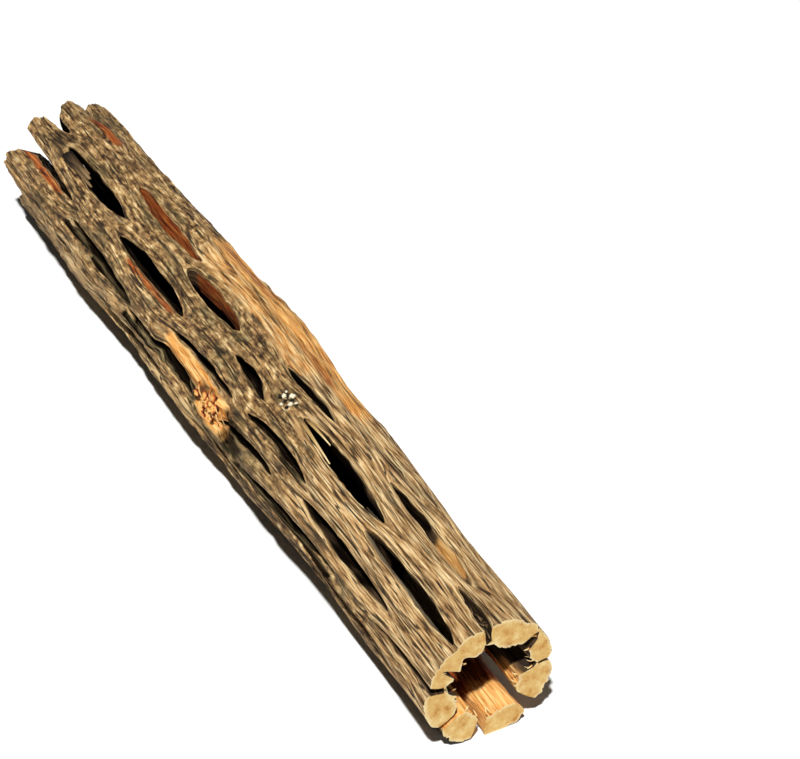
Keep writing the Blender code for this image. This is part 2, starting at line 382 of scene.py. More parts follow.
def share_of(tone: Tone, turn: np.ndarray, along: np.ndarray, inside: bool) -> np.ndarray:
    """Works out where a tone lies, from its patches on one side of the wood.

    Args:
        tone: The tone.
        turn: Turn of each point, in degrees.
        along: Along of each point, in mm.
        inside: True for slot walls and the bore, False for the outside.

    Returns:
        The tone's share at each point.
    """
    share = np.zeros(np.shape(turn))
    for patch in PATCHES:
        if patch.tone is not tone or patch.inside is not inside:
            continue
        middle = (patch.turn[0] + patch.turn[1]) / 2
        off_turn = np.abs(turn_between(turn, middle)) - (patch.turn[1] - patch.turn[0]) / 2
        off_along = np.maximum(patch.along[0] - along, along - patch.along[1])
        part = ease(1 - off_turn / patch.fade[1]) * ease(1 - off_along / patch.fade[0])
        share = np.maximum(share, part * patch.strength)
    return share


def on_stem(along: float, turn: float, radius: float) -> Vector:
    """A place on or in the stem.

    Args:
        along: Distance from the sawn end, in mm.
        turn: Angle around the stem, in degrees.
        radius: Distance from the stem's middle line, in mm.

    Returns:
        The place in metres.
    """
    angle = math.radians(turn)
    side = float(smooth_steps(along, SIDE_ALONG)) + CENTRING[1]
    height = float(smooth_steps(along, RADIUS_ALONG)) - FLAT_DEPTH
    across = side + radius * math.cos(angle)
    up = max(height + radius * math.sin(angle), 0)
    return Vector((LENGTH / 2 - along + CENTRING[0], across, up)) / MM_PER_METRE


def fill(tree: Tree, node: Node, sockets: dict | Sequence) -> None:
    """Links or sets a node's input sockets.

    Args:
        tree: The material's node tree.
        node: The node.
        sockets: A value for each socket, by name or number, or for the first ones in order. It is an
            output to link, a node whose first output is linked, a hex colour or a plain value.
    """
    for name, value in sockets.items() if isinstance(sockets, dict) else enumerate(sockets):
        if isinstance(value, Node):
            value = value.outputs[0]
        if isinstance(value, Socket):
            tree.links.new(value, node.inputs[name])
        else:
            node.inputs[name].default_value = linear(value) if isinstance(value, str) else value


def add(tree: Tree, kind: str, sockets: dict | Sequence = (), **settings: object) -> Node:
    """Adds one node with its settings and links.

    Args:
        tree: The material's node tree.
        kind: The node's type name, without "ShaderNode" before it.
        sockets: What its input sockets get, as fill takes it.
        settings: Attributes of the node. "stops" gives a ramp's places and hex colours.

    Returns:
        The new node.
    """
    node = tree.nodes.new("ShaderNode" + kind)
    stops = settings.pop("stops", ())
    for name, value in settings.items():
        setattr(node, name, value)
    for _ in stops[2:]:
        node.color_ramp.elements.new(0.5)
    for element, (place, colour) in zip(node.color_ramp.elements if stops else (), stops, strict=True):
        element.position = place
        element.color = linear(colour)
    fill(tree, node, sockets)
    return node


def coated(tree: Tree, colour: Node | Socket, coats: Sequence[tuple]) -> Socket:
    """Lays coats of colour over one another.

    Args:
        tree: The material's node tree.
        colour: The lowest colour.
        coats: Share and colour of each coat, from the lowest up, as fill takes them.

    Returns:
        The colour under all its coats.
    """
    for share, coat in coats:
        sockets = {MIX_SHARE: share, MIX_A: colour, MIX_B: coat}
        colour = add(tree, "Mix", sockets, data_type="RGBA").outputs[MIX_COLOUR]
    return colour


def fibre_noise(tree: Tree, place: Node | Socket, size: Pair, detail: float = 3.0) -> Socket:
    """Noise drawn out along the grain.

    Args:
        tree: The material's node tree.
        place: Coordinates in mm, with the grain along Z.
        size: Size of a patch across and along the grain, in mm.
        detail: How many finer layers it has.

    Returns:
        The noise's output, from 0 to 1.
    """
    across, along = size
    vector = add(tree, "Mapping", {"Vector": place, "Scale": (1 / across, 1 / across, 1 / along)})
    sockets = {"Vector": vector, "Scale": 1.0, "Detail": detail, "Roughness": NOISE_ROUGHNESS}
    return add(tree, "TexNoise", sockets).outputs["Fac"]


def new_finish(name: str) -> tuple[bpy.types.Material, Tree, Node]:
    """Starts a material.

    Args:
        name: The material's name.

    Returns:
        The material, its node tree and its Principled BSDF.
    """
    material = bpy.data.materials.new(name)
    material.use_nodes = True
    return material, material.node_tree, material.node_tree.nodes["Principled BSDF"]


@dataclass(frozen=True)
class Stain:
    """Patches of another colour on old wood.

    Args:
        size: Size of a patch across and along the grain, in mm.
        levels: The noise where a patch begins, and where it is full.
        most: Its share where it is full.
    """

    size: Pair
    levels: Pair
    most: float

    def share(self, tree: Tree, grain: Socket) -> Node:
        """Adds the nodes that say where the stain lies.

        Args:
            tree: The material's node tree.
            grain: Coordinates in mm, with the grain along Z.

        Returns:
            The node that gives its share at each point.
        """
        patches = fibre_noise(tree, grain, self.size, detail=2.0)
        return add(tree, "MapRange", (patches, *self.levels, 0, self.most))


@dataclass(frozen=True)
class WeatheredWood:
    """Cholla wood bleached by sun and rain.

    It is dry and matt: pale ridges and dark hairline checks run along the grain, older stretches are
    mottled grey-brown with olive, and where the skin has worn off the wood shows gold to rust-red.
    The real checks are 0.1 to 0.2 mm wide, too fine to show here, so they are drawn about 0.3 mm wide.

    Args:
        name: The material's name.
        streak: Size of the bleached streaks, in mm across and along the grain, as all sizes here.
        mottle: Size of the mottling on old wood.
        finger: Size of the fingers that a tone's soft edge breaks into.
        finger_depth: How far those fingers reach into the edge, as a share of the tone.
        finger_levels: Broken share where a tone begins, and where it is full.
        check: Spacing and length of the checks.
        check_edge: How far the noise is from its middle at a check's edge, and where it is darkest.
        check_break: Size of the breaks in a check.
        check_dash: The noise where a check is broken, and where it is whole.
        check_dark: Darkness of a check on grey wood, and on gold wood.
        bleached: Where old wood is as pale as the rest.
        stained: Where it is brown.
        olive: Where it is olive.
        inner_depth: Depth where the skin's colour ends, and where the painted shade of the slot walls and
            bore is full.
        rim_wear_and_highlight: The streak's noise where a slot's rim is plain, and where it is pale from
            wear and a painted highlight.
        roughness: Roughness of the dark streaks, and of the pale ones.
        gloss: Specular level, which falls to 0 on the painted-shade tone.
        mottle_height: Height of the mottling, as a share of the streaks'.
        check_height: Height of a check's floor, as a share of the streaks'.
        bump_strength: Strength of the relief.
        bump_depth: Depth of the relief, in metres.
    """

    name: str = "weathered_cholla_wood"
    streak: Pair = (0.7, 7.5)
    mottle: Pair = (1.3, 3.0)
    finger: Pair = (1.8, 6.0)
    finger_depth: float = 0.9
    finger_levels: Pair = (0.72, 1.2)
    check: Pair = (1.05, 24.0)
    check_edge: Pair = (0.036, 0.02)
    check_break: Pair = (1.2, 7.0)
    check_dash: Pair = (0.38, 0.47)
    check_dark: Pair = (0.9, 0.3)
    bleached: Stain = Stain((3.2, 16.0), (0.5, 0.7), 0.45)
    stained: Stain = Stain((2.6, 7.0), (0.5, 0.68), 0.5)
    olive: Stain = Stain((7.0, 12.0), (0.52, 0.68), 0.5)
    inner_depth: Pair = (0.02, 0.22)
    rim_wear_and_highlight: Pair = (0.4, 0.6)
    roughness: Pair = (0.92, 0.68)
    gloss: float = 0.3
    mottle_height: float = 0.6
    check_height: float = -0.5
    bump_strength: float = 0.8
    bump_depth: float = 0.0005

    def build(self) -> bpy.types.Material:
        """Makes the material.

        Returns:
            The material.
        """
        material, tree, shader = new_finish(self.name)
        grain = add(tree, "Attribute", attribute_name="grain").outputs["Vector"]
        names = ("depth", "rim", "groove")
        marks = [add(tree, "Attribute", attribute_name=name).outputs["Fac"] for name in names]
        depth, rim, groove = marks
        streak = fibre_noise(tree, grain, self.streak)
        mottle = fibre_noise(tree, grain, self.mottle, detail=4.0)
        fingers = fibre_noise(tree, grain, self.finger, detail=4.0)
        tones = {tone: self._tone(tree, tone, fingers) for tone in Tone}
        checks = self._checks(tree, grain, tones[Tone.GOLD])
        # Painted shade: the slot walls and the bore turn dark brown with depth.
        inward = add(tree, "MapRange", (depth, *self.inner_depth))
        coats = [(inward, add(tree, "ValToRGB", (streak,), stops=INNER_WALL_SHADE))]
        for tone, stops in TONE_COLOURS.items():
            coats.append((tones[tone], add(tree, "ValToRGB", (streak,), stops=stops)))
        worn = add(tree, "MapRange", (streak, *self.rim_wear_and_highlight))
        # Pale slot rims: wear, with a painted highlight.
        coats.append((add(tree, "Math", (rim, worn), operation="MULTIPLY"), RIM_STRAW_HIGHLIGHT))
        # Dark checks, then painted shade on the groove floors.
        coats += [(checks, CHECK_BROWN), (groove, GROOVE_SHADE)]
        skin = self._skin(tree, grain, (streak, mottle), tones[Tone.AGED])
        finish = {
            "Base Color": coated(tree, skin, coats),
            "Roughness": add(tree, "MapRange", (streak, 0, 1, *self.roughness)),
            "Specular IOR Level": add(tree, "MapRange", (tones[Tone.DARK], 0, 1, self.gloss, 0)),
            "Normal": self._relief(tree, streak, mottle, checks),
        }
        fill(tree, shader, finish)
        return material

    def _tone(self, tree: Tree, tone: Tone, fingers: Socket) -> Node:
        """Reads a tone's attribute and breaks its soft edge up along the fibres.

        Args:
            tree: The material's node tree.
            tone: The tone.
            fingers: Noise of the size of the fingers.

        Returns:
            The node that gives the tone's share at each point.
        """
        share = add(tree, "Attribute", attribute_name=tone.value).outputs["Fac"]
        broken = add(tree, "Math", (fingers, self.finger_depth, share), operation="MULTIPLY_ADD")
        return add(tree, "MapRange", (broken, *self.finger_levels))

    def _checks(self, tree: Tree, grain: Socket, gold: Node) -> Node:
        """Draws dark hairline checks along the grain, where a noise passes its middle.

        Args:
            tree: The material's node tree.
            grain: Coordinates in mm, with the grain along Z.

        Returns:
            The node that gives 0 beside a check and its darkness in it.
        """
        waves = fibre_noise(tree, grain, self.check, detail=0.5)
        level = add(tree, "Math", (waves, -0.5), operation="ADD")
        off = add(tree, "Math", (level,), operation="ABSOLUTE")
        line = add(tree, "MapRange", (off, *self.check_edge))
        gaps = fibre_noise(tree, grain, self.check_break, detail=1.0)
        dash = add(tree, "MapRange", (gaps, *self.check_dash))
        drawn = add(tree, "Math", (line, dash), operation="MULTIPLY")
        dark = add(tree, "MapRange", (gold, 0, 1, *self.check_dark))
        return add(tree, "Math", (drawn, dark), operation="MULTIPLY")

    def _skin(self, tree: Tree, grain: Socket, noises: tuple[Socket, Socket], aged: Node) -> Socket:
        """Makes the outside's own colour: pale streaks, and mottled grey-brown where aged.

        Args:
            tree: The material's node tree.
            grain: Coordinates in mm, with the grain along Z.
            noises: The streaks and the mottling.
            aged: Share of the aged tone.

        Returns:
            The colour.
        """
        streak, mottle = noises
        pale = add(tree, "ValToRGB", (streak,), stops=PALE_SKIN)
        stains = ((self.bleached, pale), (self.stained, STAIN_BROWN), (self.olive, OLIVE))
        coats = [(stain.share(tree, grain), colour) for stain, colour in stains]
        old = coated(tree, add(tree, "ValToRGB", (mottle,), stops=OLD_SKIN), coats)
        return coated(tree, pale, [(aged, old)])

    def _relief(self, tree: Tree, streak: Socket, mottle: Socket, checks: Node) -> Node:
        """Makes the fine relief.

        Args:
            tree: The material's node tree.
            streak: The streaks.
            mottle: The mottling.
            checks: The checks.

        Returns:
            The bump node.
        """
        height = add(tree, "Math", (mottle, self.mottle_height, streak), operation="MULTIPLY_ADD")
        cut = add(tree, "Math", (checks, self.check_height, height), operation="MULTIPLY_ADD")
        sockets = {"Height": cut, "Strength": self.bump_strength, "Distance": self.bump_depth}
        return add(tree, "Bump", sockets)


@dataclass(frozen=True)
class SawnWood:
    """Cholla wood freshly sawn across the grain.

    The end grain is straw-yellow with fine open pores, warm orange clouds and paler, furry edges. The
    real pores are 0.1 mm wide, and are drawn 0.6 mm wide so that they show.

    Args:
        name: The material's name.
        pore: Size of a pore, in mm.
        pore_levels: The noise round a pore, and in it.
        pore_dark: Share of the pores' colour in a pore.
        cloud: Size of a cloud of warmer or paler wood, in mm.
        edge_levels: Distance from the wall's middle where the furry edge begins and is full, in depth.
        edge_pale: Share of the edge's colour where it is full.
        roughness: Roughness of the sawn face.
        gloss: Its specular level.
        bump_strength: Strength of the pores' relief.
        bump_depth: Depth of that relief, in metres.
    """

    name: str = "sawn_cholla_end_grain"
    pore: float = 0.6
    pore_levels: Pair = (0.38, 0.3)
    pore_dark: float = 0.3
    cloud: float = 3.2
    edge_levels: Pair = (0.36, 0.5)
    edge_pale: float = 0.65
    roughness: float = 0.85
    gloss: float = 0.25
    bump_strength: float = 0.5
    bump_depth: float = 0.0003

    def build(self) -> bpy.types.Material:
        """Makes the material.

        Returns:
            The material.
        """
        material, tree, shader = new_finish(self.name)
        metres = add(tree, "TexCoord").outputs["Object"]
        place = add(tree, "Mapping", {"Vector": metres, "Scale": (MM_PER_METRE,) * 3})
        cloud = fibre_noise(tree, place, (self.cloud, self.cloud))
        pores = fibre_noise(tree, place, (self.pore, self.pore), detail=1.0)
        speck = add(tree, "MapRange", (pores, *self.pore_levels, 0, self.pore_dark))
        depth = add(tree, "Attribute", attribute_name="depth").outputs["Fac"]
        middle = add(tree, "Math", (depth, -0.5), operation="ADD")
        off = add(tree, "Math", (middle,), operation="ABSOLUTE")
        edge = add(tree, "MapRange", (off, *self.edge_levels, 0, self.edge_pale))
        base = add(tree, "ValToRGB", (cloud,), stops=END_GRAIN)
        relief = {"Height": pores, "Strength": self.bump_strength, "Distance": self.bump_depth}
        finish = {
            "Base Color": coated(tree, base, [(speck, PORE_BROWN), (edge, FURRY_EDGE)]),
            "Roughness": self.roughness,
            "Specular IOR Level": self.gloss,
            "Normal": add(tree, "Bump", relief),
        }
        fill(tree, shader, finish)
        return material


@dataclass(frozen=True)
class SplitWood:
    """Cholla wood split or torn along the grain: bare fibres that catch the light.

    Args:
        name: The material's name.
        stops: The colours from a fibre's root, darkened as painted shade, to its pale tip, as a ramp.
        thread: Size of a thread in mm along X, where the fibres run, and across it.
        levels: Sum of noise and reach at the ramp's start, and at its end.
        roughness: Roughness of the fibres.
        gloss: Their specular level.
        bump_strength: Strength of the threads' relief.
        bump_depth: Depth of that relief, in metres.
    """

    name: str
    stops: Ramp
    thread: Pair = (5.0, 0.6)
    levels: Pair = (0.3, 1.5)
    roughness: float = 0.8
    gloss: float = 0.3
    bump_strength: float = 0.6
    bump_depth: float = 0.0003

    def build(self) -> bpy.types.Material:
        """Makes the material.

        Returns:
            The material.
        """
        material, tree, shader = new_finish(self.name)
        metres = add(tree, "TexCoord").outputs["Object"]
        long, fine = (MM_PER_METRE / size for size in self.thread)
        place = add(tree, "Mapping", {"Vector": metres, "Scale": (long, fine, fine)})
        thread = add(tree, "TexNoise", {"Vector": place, "Scale": 1.0, "Detail": 3.0})
        reach = add(tree, "Attribute", attribute_name=REACH).outputs["Fac"]
        shade = add(tree, "Math", (thread, reach), operation="ADD")
        level = add(tree, "MapRange", (shade, *self.levels))
        relief = {"Height": thread, "Strength": self.bump_strength, "Distance": self.bump_depth}
        finish = {
            "Base Color": add(tree, "ValToRGB", (level,), stops=self.stops),
            "Roughness": self.roughness,
            "Specular IOR Level": self.gloss,
            "Normal": add(tree, "Bump", relief),
        }
        fill(tree, shader, finish)
        return material


@dataclass(frozen=True)
class StudioPaper:
    """Matt white studio paper: a faint unevenness in the pulp keeps it from looking like a void.

    Args:
        name: The material's name.
        pulp: Size of a patch of pulp, in metres.
        roughness: Roughness of the paper.
    """

    name: str = "matt_white_paper"
    pulp: float = 0.004
    roughness: float = 0.95

    def build(self) -> bpy.types.Material:
        """Makes the material.

        Returns:
            The material.
        """
        material, tree, shader = new_finish(self.name)
        place = add(tree, "TexCoord").outputs["Object"]
        pulp = add(tree, "TexNoise", {"Vector": place, "Scale": 1 / self.pulp, "Detail": 2.0})
        colour = add(tree, "ValToRGB", (pulp,), stops=PAPER)
        fill(tree, shader, {"Base Color": colour, "Roughness": self.roughness})
        return material


def link_piece(name: str, mesh: bpy.types.Mesh) -> bpy.types.Object:
    """Puts a mesh in the scene as a piece that rides on the stem's one body.

    Args:
        name: The piece's name.
        mesh: Its finished mesh, already in place.

    Returns:
        The piece.
    """
    piece = bpy.data.objects.new(name, mesh)
    bpy.context.scene.collection.objects.link(piece)
    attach(piece, "root")
    return piece


@dataclass(frozen=True)
class Ripples:
    """Noise over the stem that follows the grain.

    Args:
        across: Size of a ripple across the grain, in mm.
        along: Size of a ripple along the grain, in mm.
        layer: Number that keeps it apart from the others.
        height: Its height either way, in mm where it shapes the wood.
    """

    across: float
    along: float
    layer: int
    height: float = 1.0

    def over(self, rows: int, columns: int) -> np.ndarray:
        """Works the noise out on the unparted grid.

        Args:
            rows: Grid rows along the stem.
            columns: Grid columns around it.

        Returns:
            The height at every grid point.
        """
        values = np.empty((rows + 1, columns))
        for row in range(rows + 1):
            height = row / rows * LENGTH / self.along + LAYER_STEP * self.layer
            for line in range(columns):
                angle = 2 * math.pi * line / columns
                x, y = (turned * RADIUS / self.across for turned in (math.cos(angle), math.sin(angle)))
                values[row, line] = noise.noise((x, y, height))
        return values * NOISE_GAIN * self.height


@dataclass(frozen=True)
class Hill:
    """A round hill on the outside, or a hollow where its height is less than 0.

    Args:
        along: Its middle along the stem, in mm.
        turn: Its middle around the stem, in degrees.
        length: Its reach along the stem, in mm.
        width: Its reach around the stem, in mm.
        height: Its height, in mm.
    """

    along: float
    turn: float
    length: float
    width: float
    height: float

    def over(self, turn: np.ndarray, along: np.ndarray) -> np.ndarray:
        """Works out the hill's height.

        Args:
            turn: Turn of each point, in degrees.
            along: Along of each point, in mm.

        Returns:
            The height at each point, in mm.
        """
        around = np.radians(turn_between(turn, self.turn)) * RADIUS / self.width
        return self.height * np.exp(-((along - self.along) ** 2 / self.length**2 + around**2))


@dataclass(frozen=True)
class Address:
    """Where each vertex of the tube lies on the grid.

    Args:
        line: Its grid line around the stem.
        row: Its grid row, from 0 at the saw cut.
        depth: Its depth, from 0 on the outside to 1 in the bore.
    """

    line: np.ndarray
    row: np.ndarray
    depth: np.ndarray


@dataclass
class Skeleton:
    """The woody tube with its slots, as one closed mesh. Sizes are in mm, turns in degrees.

    Args:
        columns: Grid columns around the stem.
        rows: Grid rows along it.
        wall_cuts: Cuts across each slot wall and across the sawn and broken ends.
        relax_steps: Steps in which the grain lines settle between the slots.
        along_weight: Pull of a grid point's neighbours along the grain, beside those around the stem.
        outer_round: How far the outside sinks at a slot's edge.
        inner_round: How far the bore rises there.
        round_reach: Distance from a slot's edge over which both happen.
        cut_round_share: Share of the rounding that is left at the saw cut.
        cut_round_fade: Distance from the saw cut at which it is whole.
        tail_stretch: How many times longer the rounding is beyond a slot's tips than beside it.
        tip_half_width: Half a slot's width at its tips, in degrees.
        spindle_power: Shape of a slot: less than 1 makes it fuller towards its tips.
        bump_height: Height of the low bumps.
        bump_size: Size of the low bumps across the stem.
        bump_stretch: How many times longer they are than wide.
        torn_along: Where the torn, sunken strand starts and ends.
        torn_turn: Its turn on either side.
        torn_depth: How deep it lies.
        torn_fade: How far it fades out along and around.
        wall_bulge: How far a slot's wall swells into the slot.
        wall_share: The most that it swells, as a share of the slot's half width.
        wobble_height: How far a slot's edge strays from its even curve.
        wobble_length: Length of one such wave.
        wobble_share: The most that it strays, as a share of the slot's half width.
        wobble_waves: How many times finer each layer of waves is, and its share of the height.
        rim_reach: Width of the pale rim round a slot, partly worn and partly a painted highlight.
        rim_share: Share of the rim's colour at the edge.
        rim_aged: How much of that is lost on aged wood.
        skin_depth: Depth at which the outside's marks have ended on a slot's wall.
        tip_stretch: How much further the broken tips reach than the grid.
        tip_stretch_from: Where the grid starts to be drawn out for that.
        tip_stretch_power: How late along it most of the stretch comes.
        flare: How far the stem swells at the saw cut, on its flared side.
        flare_turn: Turn of that side.
        flare_side: Half of what the other side swells less, as a share.
        flare_length: Distance over which it swells.
        flare_inside: How far the bore widens with it, as a share.
        cut_wear: How far the outer edge of the saw cut is worn down.
        cut_wear_length: Length of that wear.
        ribs: Long ridges of the outside.
        cracks: Noise whose middle the grooves follow.
        crack_width: Noise on either side of that where a groove ends.
        crack_breaks: Noise that breaks the grooves.
        crack_level: Added to it: 1 would leave no breaks where the noise is 0.
        crack_depth: Depth of a groove.
        crack_clear: Distance from a slot's edge at which a groove is whole.
        crack_dark: Share of the painted shade on a groove's floor.
        rough: Short rough relief of older wood.
        rough_from: Where it starts.
        rough_over: Distance over which it comes in.
        gold_smoothing: How much of the roughness and of the grooves is worn off gold wood.
        hills: The cushion's mound and the hollow before the torn strand's end.
        nub: The swollen end of the torn strand, with a height of 1.
        nub_height: Its height.
        nub_lumps: Lumps on it.
        ridge_at: Along and turn of the middle of the bowed ridge above a slot.
        ridge_bow: How far it bows, in degrees for each square mm of distance from its middle.
        ridge_width: Its half width, in degrees.
        ridge_length: Half its length.
        ridge_height: Its height.
        bore_relief: Strands and threads in the bore.
        ragged: Torn lobes and threads of the bore at the saw cut.
        ragged_length: Distance from the cut over which they fade.
        wall_fibre: Fibres on the slots' walls, in degrees of turn.
        sharp_angle: Faces that meet at more than this angle keep a sharp edge, in degrees.
        slots: All slots, filled in by build.
    """

    columns: int = 288
    rows: int = 128
    wall_cuts: int = 5
    relax_steps: int = 1600
    along_weight: float = 0.6
    outer_round: float = 1.4
    inner_round: float = 1.8
    round_reach: float = 4.2
    cut_round_share: float = 0.9
    cut_round_fade: float = 25.0
    tail_stretch: float = 3.0
    tip_half_width: float = 0.7
    spindle_power: float = 0.55
    bump_height: float = 0.55
    bump_size: float = 13.0
    bump_stretch: float = 3.0
    torn_along: Pair = (116.0, 152.0)
    torn_turn: Pair = (147.0, 167.0)
    torn_depth: float = 2.6
    torn_fade: Pair = (5.0, 7.0)
    wall_bulge: float = 0.55
    wall_share: float = 0.15
    wobble_height: float = 0.6
    wobble_length: float = 7.0
    wobble_share: float = 0.45
    wobble_waves: tuple[Pair, ...] = ((1.0, 1.0), (3.0, 0.5))
    rim_reach: float = 1.1
    rim_share: float = 0.6
    rim_aged: float = 0.8
    skin_depth: float = 0.12
    tip_stretch: float = 4.0
    tip_stretch_from: float = 212.0
    tip_stretch_power: float = 1.5
    flare: float = 1.8
    flare_turn: float = 130.0
    flare_side: float = 0.45
    flare_length: float = 9.0
    flare_inside: float = 0.5
    cut_wear: float = 0.25
    cut_wear_length: float = 1.5
    ribs: Ripples = Ripples(2.4, 30, 0, 0.3)
    cracks: Ripples = Ripples(1.9, 30, 1)
    crack_width: float = 0.26
    crack_breaks: Ripples = Ripples(4.0, 12, 2, 1.6)
    crack_level: float = 0.7
    crack_depth: float = 0.6
    crack_clear: float = 1.2
    crack_dark: float = 0.9
    rough: Ripples = Ripples(1.9, 4.0, 3, 0.4)
    rough_from: float = 85.0
    rough_over: float = 40.0
    gold_smoothing: Pair = (0.6, 0.5)
    hills: tuple[Hill, ...] = (Hill(99.5, 105, 5.5, 4.0, 0.9), Hill(111, 163, 5.5, 3.6, -1.1))
    nub: Hill = Hill(122, 160.5, 6.5, 4.6, 1.0)
    nub_height: float = 1.9
    nub_lumps: Ripples = Ripples(1.3, 4.0, 9, 1.5)
    ridge_at: Pair = (116.0, 122.5)
    ridge_bow: float = 0.03
    ridge_width: float = 1.9
    ridge_length: float = 12.0
    ridge_height: float = 0.8
    bore_relief: tuple[Ripples, ...] = (Ripples(1.9, 20, 4, 0.3), Ripples(1.0, 7, 5, 0.15))
    ragged: tuple[Ripples, ...] = (Ripples(4.2, 9, 6, 0.5), Ripples(1.5, 5, 7, 0.26))
    ragged_length: float = 6.0
    wall_fibre: Ripples = Ripples(1.0, 8, 8, 0.9)
    sharp_angle: float = 50.0
    slots: list[Slot] = field(default_factory=list)

    def build(self) -> bpy.types.Object:
        """Builds the stem.

        Returns:
            The finished piece, which stands for the CAD node.
        """
        self.slots = all_slots()
        grids = self._grids(*self._grain_grid())
        tube = self._unit_tube()
        mesh = bpy.data.meshes.new("cholla_wood_skin")
        tube.to_mesh(mesh)
        tube.free()
        at = self._addresses(mesh)
        self._form(mesh, grids, at)
        self._mark(mesh, grids, at)
        piece = link_piece("cholla_wood_skin", mesh)
        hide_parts(NODE)
        self._dress(mesh, at)
        mesh.shade_smooth()
        mesh.set_sharp_from_angle(angle=math.radians(self.sharp_angle))
        return piece

    def _slot_line(self, slot: Slot, along: np.ndarray | float) -> tuple[np.ndarray, np.ndarray]:
        """Follows a slot's middle line.

        Args:
            slot: The slot.
            along: Where to read it, in mm.

        Returns:
            The line's turn and the slot's half width there, in degrees.
        """
        share = np.clip((along - slot.start) / (slot.end - slot.start), 0, 1)
        bow = 2 * (slot.first + slot.last - 2 * slot.middle)
        turn = slot.first + share * (4 * slot.middle - 3 * slot.first - slot.last) + share * share * bow
        spindle = np.sin(math.pi * share) ** self.spindle_power
        return turn, self.tip_half_width + (slot.half - self.tip_half_width) * spindle

    def _slot_cells(self, slot: Slot) -> tuple[int, np.ndarray]:
        """Finds the cells that a slot takes from the grid.

        Args:
            slot: The slot.

        Returns:
            Its grid column and its grid rows.
        """
        column = int(slot.middle / (360 / self.columns)) % self.columns
        first, last = (round(end / LENGTH * self.rows) for end in (slot.start, slot.end))
        first = 0 if slot.start <= 0 else max(1, first)
        last = self.rows if slot.end >= LENGTH else min(self.rows - 1, last)
        return column, np.arange(first, last + 1)

    def _relaxed(self, values: np.ndarray, pinned: np.ndarray) -> np.ndarray:
        """Lets the free values settle between the pinned ones, around the stem and along it.

        Args:
            values: A value for every grid point.
            pinned: True where a value stays.

        Returns:
            The settled values.
        """
        held = values[pinned].copy()
        for _ in range(self.relax_steps):
            above = np.vstack([values[:1], values[:-1]])
            below = np.vstack([values[1:], values[-1:]])
            beside = np.roll(values, 1, axis=1) + np.roll(values, -1, axis=1)
            values = (beside + self.along_weight * (above + below)) / (2 + 2 * self.along_weight)
            values[pinned] = held
        return values

    def _grain_grid(self) -> tuple[np.ndarray, np.ndarray]:
        """Parts the grain lines round the slots.

        Returns:
            Turn and along of every grid point.
        """
        across = np.arange(self.columns) * 360 / self.columns
        rest_turn = np.tile(across, (self.rows + 1, 1))
        rest_along = np.tile(np.linspace(0, LENGTH, self.rows + 1)[:, None], (1, self.columns))
        turn_shift = np.zeros_like(rest_turn)
        along_shift = np.zeros_like(rest_turn)
        pinned = np.zeros(rest_turn.shape, bool)
        for slot in self.slots:
            column, rows = self._slot_cells(slot)
            for line, side in ((column, -1), ((column + 1) % self.columns, 1)):
                end_turn, end_half = self._slot_line(slot, min(slot.end, LENGTH))
                tip = smooth_steps(end_turn + side * end_half, TIPS, 360)
                along = np.linspace(max(slot.start, 0), min(slot.end, tip), len(rows))
                turn, half = self._slot_line(slot, along)
                half = half + self._edge_wobble(slot, side, along, half)
                turn_shift[rows, line] = turn_between(turn + side * half, rest_turn[rows, line])
                along_shift[rows, line] = along - rest_along[rows, line]
                pinned[rows, line] = True
        turn = rest_turn + self._relaxed(turn_shift, pinned)
        pinned[[0, -1]] = True
        along_shift[0] = 0
        along_shift[-1] = smooth_steps(turn[-1], TIPS, 360) - LENGTH
        return turn, rest_along + self._relaxed(along_shift, pinned)

    def _edge_wobble(self, slot: Slot, side: int, along: np.ndarray, half: np.ndarray) -> np.ndarray:
        """Makes one long edge of a slot stray from its even curve.

        Args:
            slot: The slot.
            side: -1 or 1 for its lower or higher turn.
            along: Along of each point of the edge, in mm.
            half: The slot's half width there, in degrees.

        Returns:
            How far each point strays, in degrees.
        """
        stray = np.zeros(len(along))
        step = WOBBLE_SIDE_STEP * side
        for finer, height in self.wobble_waves:
            waves = [noise.noise((finer * a / self.wobble_length, slot.middle, step)) for a in along]
            stray += height * np.array(waves)
        return stray * np.minimum(math.degrees(self.wobble_height / RADIUS), self.wobble_share * half)

    def _edge_distance(self, turn: np.ndarray, along: np.ndarray, stretch: float) -> np.ndarray:
        """Measures how far each point is from the nearest slot.

        Args:
            turn: Turn of each point, in degrees.
            along: Along of each point, in mm.
            stretch: By how many times the distance beyond a slot's tips is cut.

        Returns:
            The distance in mm, 0 in a slot.
        """
        nearest = np.full(turn.shape, LENGTH)
        for slot in self.slots:
            middle, half = self._slot_line(slot, along)
            aside = np.maximum(np.abs(turn_between(turn, middle)) - half, 0)
            aside = np.radians(aside) * RADIUS
            beyond = np.maximum(np.maximum(slot.start - along, along - slot.end), 0) / stretch
            nearest = np.minimum(nearest, np.hypot(aside, beyond))
        return nearest

    def _torn_share(self, turn: np.ndarray, along: np.ndarray) -> np.ndarray:
        """Says where the torn strand lies.

        Args:
            turn: Turn of each point, in degrees.
            along: Along of each point, in mm.

        Returns:
            1 on the strand, 0 away from it.
        """
        from_ends = np.minimum(along - self.torn_along[0], self.torn_along[1] - along)
        from_sides = np.minimum(turn - self.torn_turn[0], self.torn_turn[1] - turn)
        return ease(np.minimum(from_ends / self.torn_fade[0], from_sides / self.torn_fade[1]) + 1)

